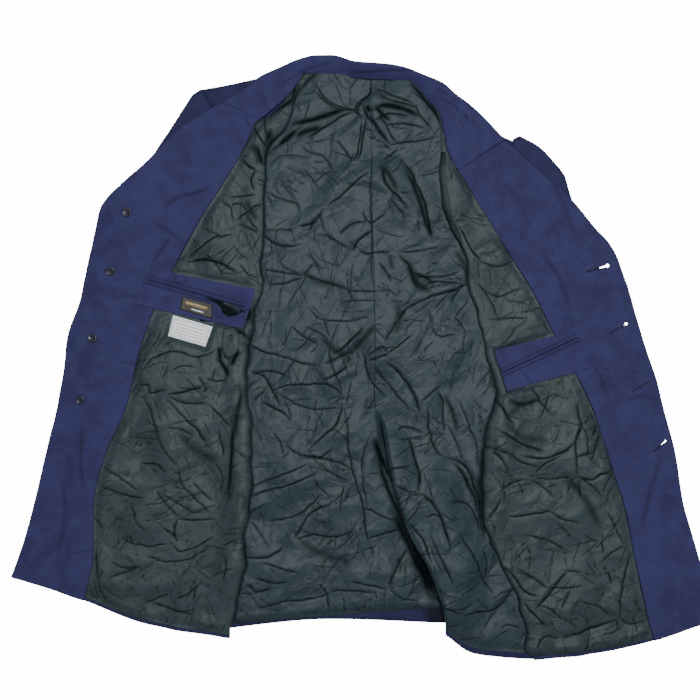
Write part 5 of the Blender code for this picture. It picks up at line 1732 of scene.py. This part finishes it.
# the pocket bag's satin that shows in the gaping mouth, painted dark as shade except on its raised crescent
bagCorners = [(-231, 50), (-160, 50), (-160, 90), (-231, 90)]
plan = gridOver(bagCorners, 1.0)
x, y = plan[..., 0], plan[..., 1]
rim = coverShare(x, y, mouthRight, 2.0)
crescent = creaseRelief(x, y, bagCreases)[0]
base = heightsFrom(right["tree"], x, y) + pockets["bagRest"]
low, high = lifted(plan, base), lifted(plan, base + pockets["bagWall"])
high[..., 2] += np.clip(0.3 + 1.5 * crescent, 0, 2.9) * rim
pocketBag = clothWall("pocket_bag_right_satin", low, high, satinBack, np.clip(0.9 - 1.3 * crescent, 0, 0.9))
settled(pocketBag, "inside_pocket_right", lifted(plan, 0), "lining_front_right_satin")


def labelPatch(name, corners, tree, material, rest):
    # a label sewn flat on what lies below it
    plan = gridOver(corners[::-1], 2.0)
    base = blurred(heightsFrom(tree, plan[..., 0], plan[..., 1]), 3) + labels["float"]
    low, high = lifted(plan, base), lifted(plan, base + labels["wall"])
    settled(clothWall(f"{name}_cloth", low, high, material), name, lifted(plan, 0), rest)
    return high


def onPatch(grid, s, t):
    # the point of a patch at shares s across and t up
    rows, columns = grid.shape[0] - 1, grid.shape[1] - 1
    i, j = min(int(t * rows), rows - 1), min(int(s * columns), columns - 1)
    u, v = t * rows - i, s * columns - j
    near = grid[i, j] * (1 - v) + grid[i, j + 1] * v
    return near * (1 - u) + (grid[i + 1, j] * (1 - v) + grid[i + 1, j + 1] * v) * u


def printed(name, grid, lines, width, material):
    # flat woven lines on a label: each from share (s, t) to (s, t), width in millimetres
    points, faces = [], []
    for s0, t0, s1, t1 in lines:
        steps = max(2, round(24 * math.hypot(s1 - s0, t1 - t0)))
        ends = onPatch(grid, s0, t0), onPatch(grid, s1, t1)
        along = (ends[1] - ends[0]) / norm(ends[1] - ends[0])
        aside = np.cross(along, (0, 0, 1.0)) * width / 2
        for i in range(steps + 1):
            spot = onPatch(grid, s0 + (s1 - s0) * i / steps, t0 + (t1 - t0) * i / steps)
            lift = np.array((0, 0, labels["printRise"]))
            points += [spot - aside, spot - aside + lift, spot + aside + lift, spot + aside]
            if i:
                k = len(points) - 8
                faces += [[k + a, k + (a + 1) % 4, k + 4 + (a + 1) % 4, k + 4 + a][::-1] for a in range(4)]
            else:
                first = len(points) - 4
                faces.append([first, first + 1, first + 2, first + 3][::-1])
        last = len(points) - 4
        faces.append([last, last + 1, last + 2, last + 3])
    onJacket(meshOf(name, points, faces, material))


onBand, onLining = "inside_pocket_right_band", "lining_front_right_satin"
pocketLabel = labelPatch("label_pocket", labelPocketCorners, bandRight, labelDark, onBand)
printed("label_pocket_bar", pocketLabel, [(0.14, 0.62, 0.84, 0.62)], 4.2, labelGold)
printed("label_pocket_line", pocketLabel, [(0.34, 0.26, 0.72, 0.26)], 1.3, labelPale)
careLabel = labelPatch("label_care", labelCareCorners, right["liningTree"], labelPale, onLining)
border = []
for inset in labels["borderInsets"]:
    s, t = inset / labels["size"][0], inset / labels["size"][1]
    border += [(s, t, 1 - s, t), (1 - s, t, 1 - s, 1 - t), (1 - s, 1 - t, s, 1 - t), (s, 1 - t, s, t)]
printed("label_care_border", careLabel, border, labels["borderWidth"], labelInk)
rng = np.random.default_rng(5)
dashes = []
for row in (0.70, 0.55, 0.40, 0.27):
    place = 0.14
    while place < 0.84:
        run = rng.uniform(0.04, 0.13)
        dashes.append((place, row, min(0.86, place + run), row))
        place += run + 0.025
printed("label_care_dashes", careLabel, dashes, labels["printWidth"], labelInk)

# the small pointed satin tab under the right pocket, with its worked hole
tabOutline = [(-196, 41), (-184, 42), (-178, 36), (-175, 26), (-176, 12), (-190.5, -1), (-199.5, 17)]
tab = {
    "wall": 2.6,
    "float": 0.5,
    "hole": (-186.5, 28),
    "holeRadii": (2.0, 3.2),
    "rings": (0.02, 0.3, 0.55, 0.78, 0.92, 0.98, 1.0),  # from the middle to the edge
    "thickness": (1.0, 1.0, 0.97, 0.9, 1.05, 0.75, 0.35),
    "shade": (0, 0, 0, 0, 0, 0.2, 0.7),
}


def roundOf(x, y, across, upward, count):
    turns = np.linspace(0, 2 * math.pi, count, endpoint=False)
    return [(x + across * math.cos(t), y + upward * math.sin(t)) for t in turns]


tabHole = roundOf(*tab["hole"], *tab["holeRadii"], 14)
centre = np.mean(tabOutline, axis=0)
rounded = refine(np.array([*tabOutline, tabOutline[0]], float)[:, None], [5] * len(tabOutline))[:-1, 0]
rings = [centre + (rounded - centre) * share for share in tab["rings"]]
plan = np.array(rings + rings[::-1][1:])
below = len(rings) - 1
level = blurred(heightsFrom(right["liningTree"], plan[..., 0], plan[..., 1]), 4) + tab["float"]
tabShade = np.array([*tab["shade"], *[0.9] * below])
thickness = np.concatenate([tab["wall"] * np.array(tab["thickness"]), np.zeros(below)])
tabPoints = lifted(plan, level + thickness[:, None])
ringCorners = cornersOf(tabPoints)
ringCorners = np.concatenate([ringCorners, ringCorners[:, :1]], axis=1)
tabFaces = gridQuads(ringCorners).tolist()
tabEnds = [ringCorners[0, :-1].tolist()[::-1], ringCorners[-1, :-1].tolist()]
satinTab = meshOf(
    "pocket_tab_satin", tabPoints.reshape(-1, 3), [face[::-1] for face in tabFaces + tabEnds], satinFront,
    uv=plan.reshape(-1, 2) * mm, mark=np.repeat(tabShade[:, None], plan.shape[1], axis=1),
)
cutThrough(satinTab, [tabHole])
onJacket(satinTab)
print("pockets and labels made")

buttons = {
    "steps": 48,
    "float": 0.1,
    "holePitch": 2.6,
    "holeRadius": 0.75,
    "tilts": (6, 9, -4, 5),
    "threadLevel": 1.75,
    "threadSpread": 0.3,
}


def turnedPiece(name, profile, steps, place, material, tilt=0.0):
    # a solid of revolution from (radius, height) pairs, standing on a point
    profile = np.array(profile, float)
    angle = np.linspace(0, 2 * math.pi, steps, endpoint=False)
    x, y = profile[:, :1] * np.cos(angle), profile[:, :1] * np.sin(angle)
    z, lean = np.repeat(profile[:, 1:], steps, 1), math.radians(tilt)
    leaning = y * math.cos(lean) - z * math.sin(lean), y * math.sin(lean) + z * math.cos(lean)
    points = np.stack([x, *leaning], -1) + np.array(place)
    corner = cornersOf(points)
    corner = np.concatenate([corner, corner[:, :1]], axis=1)
    faces = gridQuads(corner)[:, ::-1].tolist() + [corner[0, :-1].tolist(), corner[-1, :-1].tolist()[::-1]]
    piece = meshOf(name, points.reshape(-1, 3), faces, material)

    def closed(shape):
        bmesh.ops.remove_doubles(shape, verts=shape.verts, dist=0.00001)
        bmesh.ops.recalc_face_normals(shape, faces=shape.faces)

    reworked(piece.data, closed)
    piece.data.shade_smooth()
    return piece


def buttonFoot(x, y):
    return float(heightsFrom(right["facingTree"], x, y)) + buttons["float"]


dome = [(0.3, 7.8), (2.3, 7.8), (2.6, 7.4), (2.6, 6.1), (3.0, 5.8), (9.6, 5.8), (10.3, 5.7), (10.9, 5.3)]
dome += [(11 * math.cos(a), 5.2 * (1 - math.sin(a))) for a in np.radians(np.linspace(4, 88, 14))]
disc = [
    (0.2, 1.5), (3.8, 1.5), (4.2, 1.7), (4.6, 2.25), (5.1, 2.45), (5.7, 2.4),
    (6.3, 2.0), (6.6, 1.4), (6.65, 0.9), (6.4, 0.3), (5.9, 0.05), (0.2, 0.0),
]
for number, (bx, by) in enumerate(buttonSpots, 1):
    domed = turnedPiece(f"button_front_{number}_brass", dome, buttons["steps"], (bx, by, 0), brassWorn)
    settled(domed, f"button_front_{number}")
    place, tilt = (bx, by, buttonFoot(bx, by)), buttons["tilts"][number - 1]
    backing = turnedPiece(f"button_backing_{number}_disc", disc, buttons["steps"], place, buttonDark, tilt)
    pitch, radius = buttons["holePitch"] / 2, buttons["holeRadius"]
    spots = [(bx + sx * pitch, by + sy * pitch) for sx in (-1, 1) for sy in (-1, 1)]
    cutThrough(backing, [roundOf(*spot, radius, radius, 12) for spot in spots])
    settled(backing, f"button_backing_{number}")
print("buttons made")

# in metres: thickness of the thread, then spacing and length of each kind of stitch
stitching = {
    "thread": 0.00026,
    "seam": (0.0026, 0.0019),
    "purl": (0.00085, 0.0017),
    "tab": (0.0008, 0.0014),
    "button": (0.0013, 0.0017),
    "vary": (0.86, 1.12),
    "seed": 4,
}


def stitchTree():
    # a rounded stitch at every step of a line, along it or across it
    tree = bpy.data.node_groups.new("stitches", "GeometryNodeTree")
    sockets = [("Lines", "Geometry"), ("Pitch", "Float"), ("Length", "Float"), ("Thread", "Float"),
               ("Across", "Bool"), ("Seed", "Int"), ("Finish", "Material")]
    for label, kind in sockets:
        tree.interface.new_socket(label, in_out="INPUT", socket_type=f"NodeSocket{kind}")
    tree.interface.new_socket("Stitches", in_out="OUTPUT", socket_type="NodeSocketGeometry")

    def node(kind, settings=(), values=(), **wires):
        made = tree.nodes.new(kind)
        for label, value in dict(settings).items():
            setattr(made, label, value)
        for key, value in [*enumerate(values), *wires.items()]:
            if isinstance(value, bpy.types.NodeSocket):
                tree.links.new(value, made.inputs[key])
            elif value is not None:
                made.inputs[key].default_value = value
        return made

    given = tree.nodes.new("NodeGroupInput").outputs
    curve = node("GeometryNodeMeshToCurve", Mesh=given["Lines"]).outputs["Curve"]
    stepped = node("GeometryNodeResampleCurve", {"mode": "LENGTH"}, Curve=curve, Length=given["Pitch"])
    tangent = node("GeometryNodeInputTangent").outputs["Tangent"]
    crossing = node("ShaderNodeVectorMath", {"operation": "CROSS_PRODUCT"}, (tangent, (0, 0, 1)))
    ways = {"Switch": given["Across"], "False": tangent, "True": crossing.outputs["Vector"]}
    choice = node("GeometryNodeSwitch", {"input_type": "VECTOR"}, **ways)
    turn = node("FunctionNodeAlignRotationToVector", {"axis": "Z"}, Vector=choice.outputs["Output"])
    bead = node("GeometryNodeMeshUVSphere", Segments=6, Rings=4, Radius=1.0)
    half = node("ShaderNodeMath", {"operation": "MULTIPLY"}, (given["Length"], 0.5))
    size = node("ShaderNodeCombineXYZ", X=given["Thread"], Y=given["Thread"], Z=half.outputs[0])
    stitch = node("GeometryNodeTransform", Geometry=bead.outputs["Mesh"], Scale=size.outputs["Vector"])
    sizes = None, None, *stitching["vary"]
    vary = node("FunctionNodeRandomValue", {"data_type": "FLOAT"}, sizes, Seed=given["Seed"])
    laid = node(
        "GeometryNodeInstanceOnPoints", Points=stepped.outputs["Curve"], Instance=stitch.outputs["Geometry"],
        Rotation=turn.outputs["Rotation"], Scale=vary.outputs[1],
    )
    real = node("GeometryNodeRealizeInstances", Geometry=laid.outputs["Instances"])
    dressed = node("GeometryNodeSetMaterial", Geometry=real.outputs["Geometry"], Material=given["Finish"])
    tree.links.new(dressed.outputs["Geometry"], tree.nodes.new("NodeGroupOutput").inputs["Stitches"])
    return tree


stitchNodes = stitchTree()


def stitchesAlong(name, lines, kind, material, across=False):
    # lines of points in millimetres become rows of stitches, baked to one mesh
    points = [tuple(c * mm for c in point) for line in lines for point in line]
    edges, first = [], 0
    for line in lines:
        edges += [(first + i, first + i + 1) for i in range(len(line) - 1)]
        first += len(line)
    mesh = bpy.data.meshes.new(name)
    mesh.from_pydata(points, edges, [])
    piece = newPiece(name, mesh)
    modifier = piece.modifiers.new("stitches", "NODES")
    modifier.node_group = stitchNodes
    pitch, length = stitching[kind]
    values = {
        "Pitch": pitch, "Length": length, "Thread": stitching["thread"], "Across": across,
        "Seed": stitching["seed"], "Finish": material,
    }
    for socket in stitchNodes.interface.items_tree:
        if socket.name in values:
            modifier[socket.identifier] = values[socket.name]
    applied(piece)
    piece.data.shade_smooth()
    onJacket(piece)


def laidOn(tree, points, rise):
    # flat points brought up onto a surface
    points = np.array(points, float)
    return np.column_stack([points, heightsFrom(tree, points[:, 0], points[:, 1]) + rise])


def capsule(ends, radius, inset, step=1.2):
    # a line round a slit's far end: along one side, round the end and back
    start, end = np.array(ends[:2], float), np.array(ends[2:], float)
    length = norm(end - start)
    along = (end - start) / length
    aside = np.array((-along[1], along[0]))
    count = max(2, round((length - inset) / step))
    near = [start + along * (inset + (length - inset) * i / count) for i in range(count)]
    angles = np.linspace(0, math.pi, 12)
    turn = [end + aside * radius * math.cos(t) + along * radius * math.sin(t) for t in angles]
    return [p + aside * radius for p in near] + turn + [p - aside * radius for p in near[::-1]]


def frameOf(grid, inset):
    # a line of points round a label, inset from its edges
    s, t = inset / norm(grid[0, -1] - grid[0, 0]), inset / norm(grid[-1, 0] - grid[0, 0])
    corners = [(s, t), (1 - s, t), (1 - s, 1 - t), (s, 1 - t), (s, t)]
    line = []
    for (s0, t0), (s1, t1) in zip(corners[:-1], corners[1:]):
        line += [onPatch(grid, s0 + (s1 - s0) * i / 16, t0 + (t1 - t0) * i / 16) for i in range(16)]
    return [*line, line[0]]


for label, band, slit in (("right", bandRight, slitRight), ("left", bandLeft, slitLeft)):
    line = laidOn(band, capsule(slit, pockets["jet"], 8.0), 0.12)
    stitchesAlong(f"pocket_stitches_{label}", [line], "seam", threadNavy)
stitchesAlong("label_pocket_stitches", [frameOf(pocketLabel, 0.9)], "seam", threadNavy)
stitchesAlong("label_care_stitches", [frameOf(careLabel, 0.8)], "seam", labelPale)
purls = [laidOn(left["facingTree"], [*hole, hole[0]], 0.1) for hole in purlOutlines]
stitchesAlong("buttonhole_stitches", purls, "purl", threadNavy, across=True)
(hx, hy), tabTree = tab["hole"], BVHTree.FromPolygons(tabPoints.reshape(-1, 3).tolist(), tabFaces)
holeRing = [(x + (x - hx) * 0.35, y + (y - hy) * 0.25) for x, y in [*tabHole, tabHole[0]]]
ring = laidOn(tabTree, holeRing, 0.08)
stitchesAlong("tab_hole_stitches", [ring], "tab", threadNavy, across=True)
threads, half, spread = [], buttons["holePitch"] / 2, buttons["threadSpread"]
for bx, by in buttonSpots:
    level = buttonFoot(bx, by) + buttons["threadLevel"]
    for offset in (-spread, 0.0, spread):
        for side in (-1, 1):
            threads.append([(bx + side * half + offset, by + t * half, level) for t in (-1, 0, 1)])
stitchesAlong("button_threads", threads, "button", threadNavy)
print("stitches laid")

# the cut of each sheet, measured along its smooth grid, and the trims sewn on it
for name, (grid, rests) in cutGrids.items():
    width = float(norm(np.diff(grid, axis=1), axis=-1).sum(axis=1).max()) * mm
    length = float(norm(np.diff(grid, axis=0), axis=-1).sum(axis=0).max()) * mm
    area = min(surfaceArea(grid), width * length)
    print(f"{name}: {width:.3f} x {length:.3f} m, {area:.4f} m2")
corners = np.array(tabOutline) * mm
after = np.roll(corners, -1, axis=0)
area = abs(float((corners[:, 0] * after[:, 1] - after[:, 0] * corners[:, 1]).sum() / 2))
print("cloth sizes stated")

# in metres: the camera looks straight down from its height on a field of the given width
studio = {
    "height": 1.6,
    "field": 0.98,
    "centre": (-0.0217, 0.0105),
    "floor": (0.86, 0.87, 0.88),
    "floorHalf": 4,
    "floorLevel": -0.0004,
    "floorGlow": 14.0,
    "sky": (0.93, 0.96, 1.0, 1.0),
    "skyStrength": 0.3,
    "key": 58.0,
    "fill": 0.5,
}
cameraData = bpy.data.cameras.new("camera")
cameraData.sensor_width = 36
cameraData.lens = 36 * studio["height"] / studio["field"]
camera = newPiece("camera", cameraData)
camera.location = (*studio["centre"], studio["height"])
bpy.context.scene.camera = camera
half = studio["floorHalf"]
floorMesh = bpy.data.meshes.new("floor")
corners = (-half, -half), (half, -half), (half, half), (-half, half)
floorMesh.from_pydata([(x, y, studio["floorLevel"]) for x, y in corners], [], [(0, 1, 2, 3)])
floorPaper = plainFinish("floor_paper", studio["floor"], 0.9, grainSize=300.0, wear=0.01)
floorShader = floorPaper.node_tree.nodes["Principled BSDF"]
floorShader.inputs["Emission Color"].default_value = (1.0, 1.0, 1.0, 1.0)
floorShader.inputs["Emission Strength"].default_value = studio["floorGlow"]
floorMesh.materials.append(floorPaper)
floor = newPiece("floor", floorMesh)
floor.visible_diffuse = floor.visible_glossy = False
floor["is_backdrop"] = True


def softLight(name, size, place):
    # a square lamp that points at the jacket's middle
    data = bpy.data.lights.new(name, "AREA")
    data.energy, data.shape, data.size = studio[name], "SQUARE", size
    light = newPiece(name, data)
    light.location = place
    light.rotation_euler = (-Vector(place)).to_track_quat("-Z", "Y").to_euler()


softLight("key", 0.8, (0.15, 0.45, 2.5))
softLight("fill", 2.0, (1.6, -1.4, 2.2))
world = bpy.data.worlds.new("studio")
world.use_nodes = True
sky = world.node_tree.nodes["Background"].inputs
sky["Color"].default_value = studio["sky"]
sky["Strength"].default_value = studio["skyStrength"]
bpy.context.scene.world = world
print("studio set")

faces = [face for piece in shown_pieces() if piece.type == "MESH" for face in piece.data.polygons]
print("triangles:", sum(len(face.vertices) - 2 for face in faces))
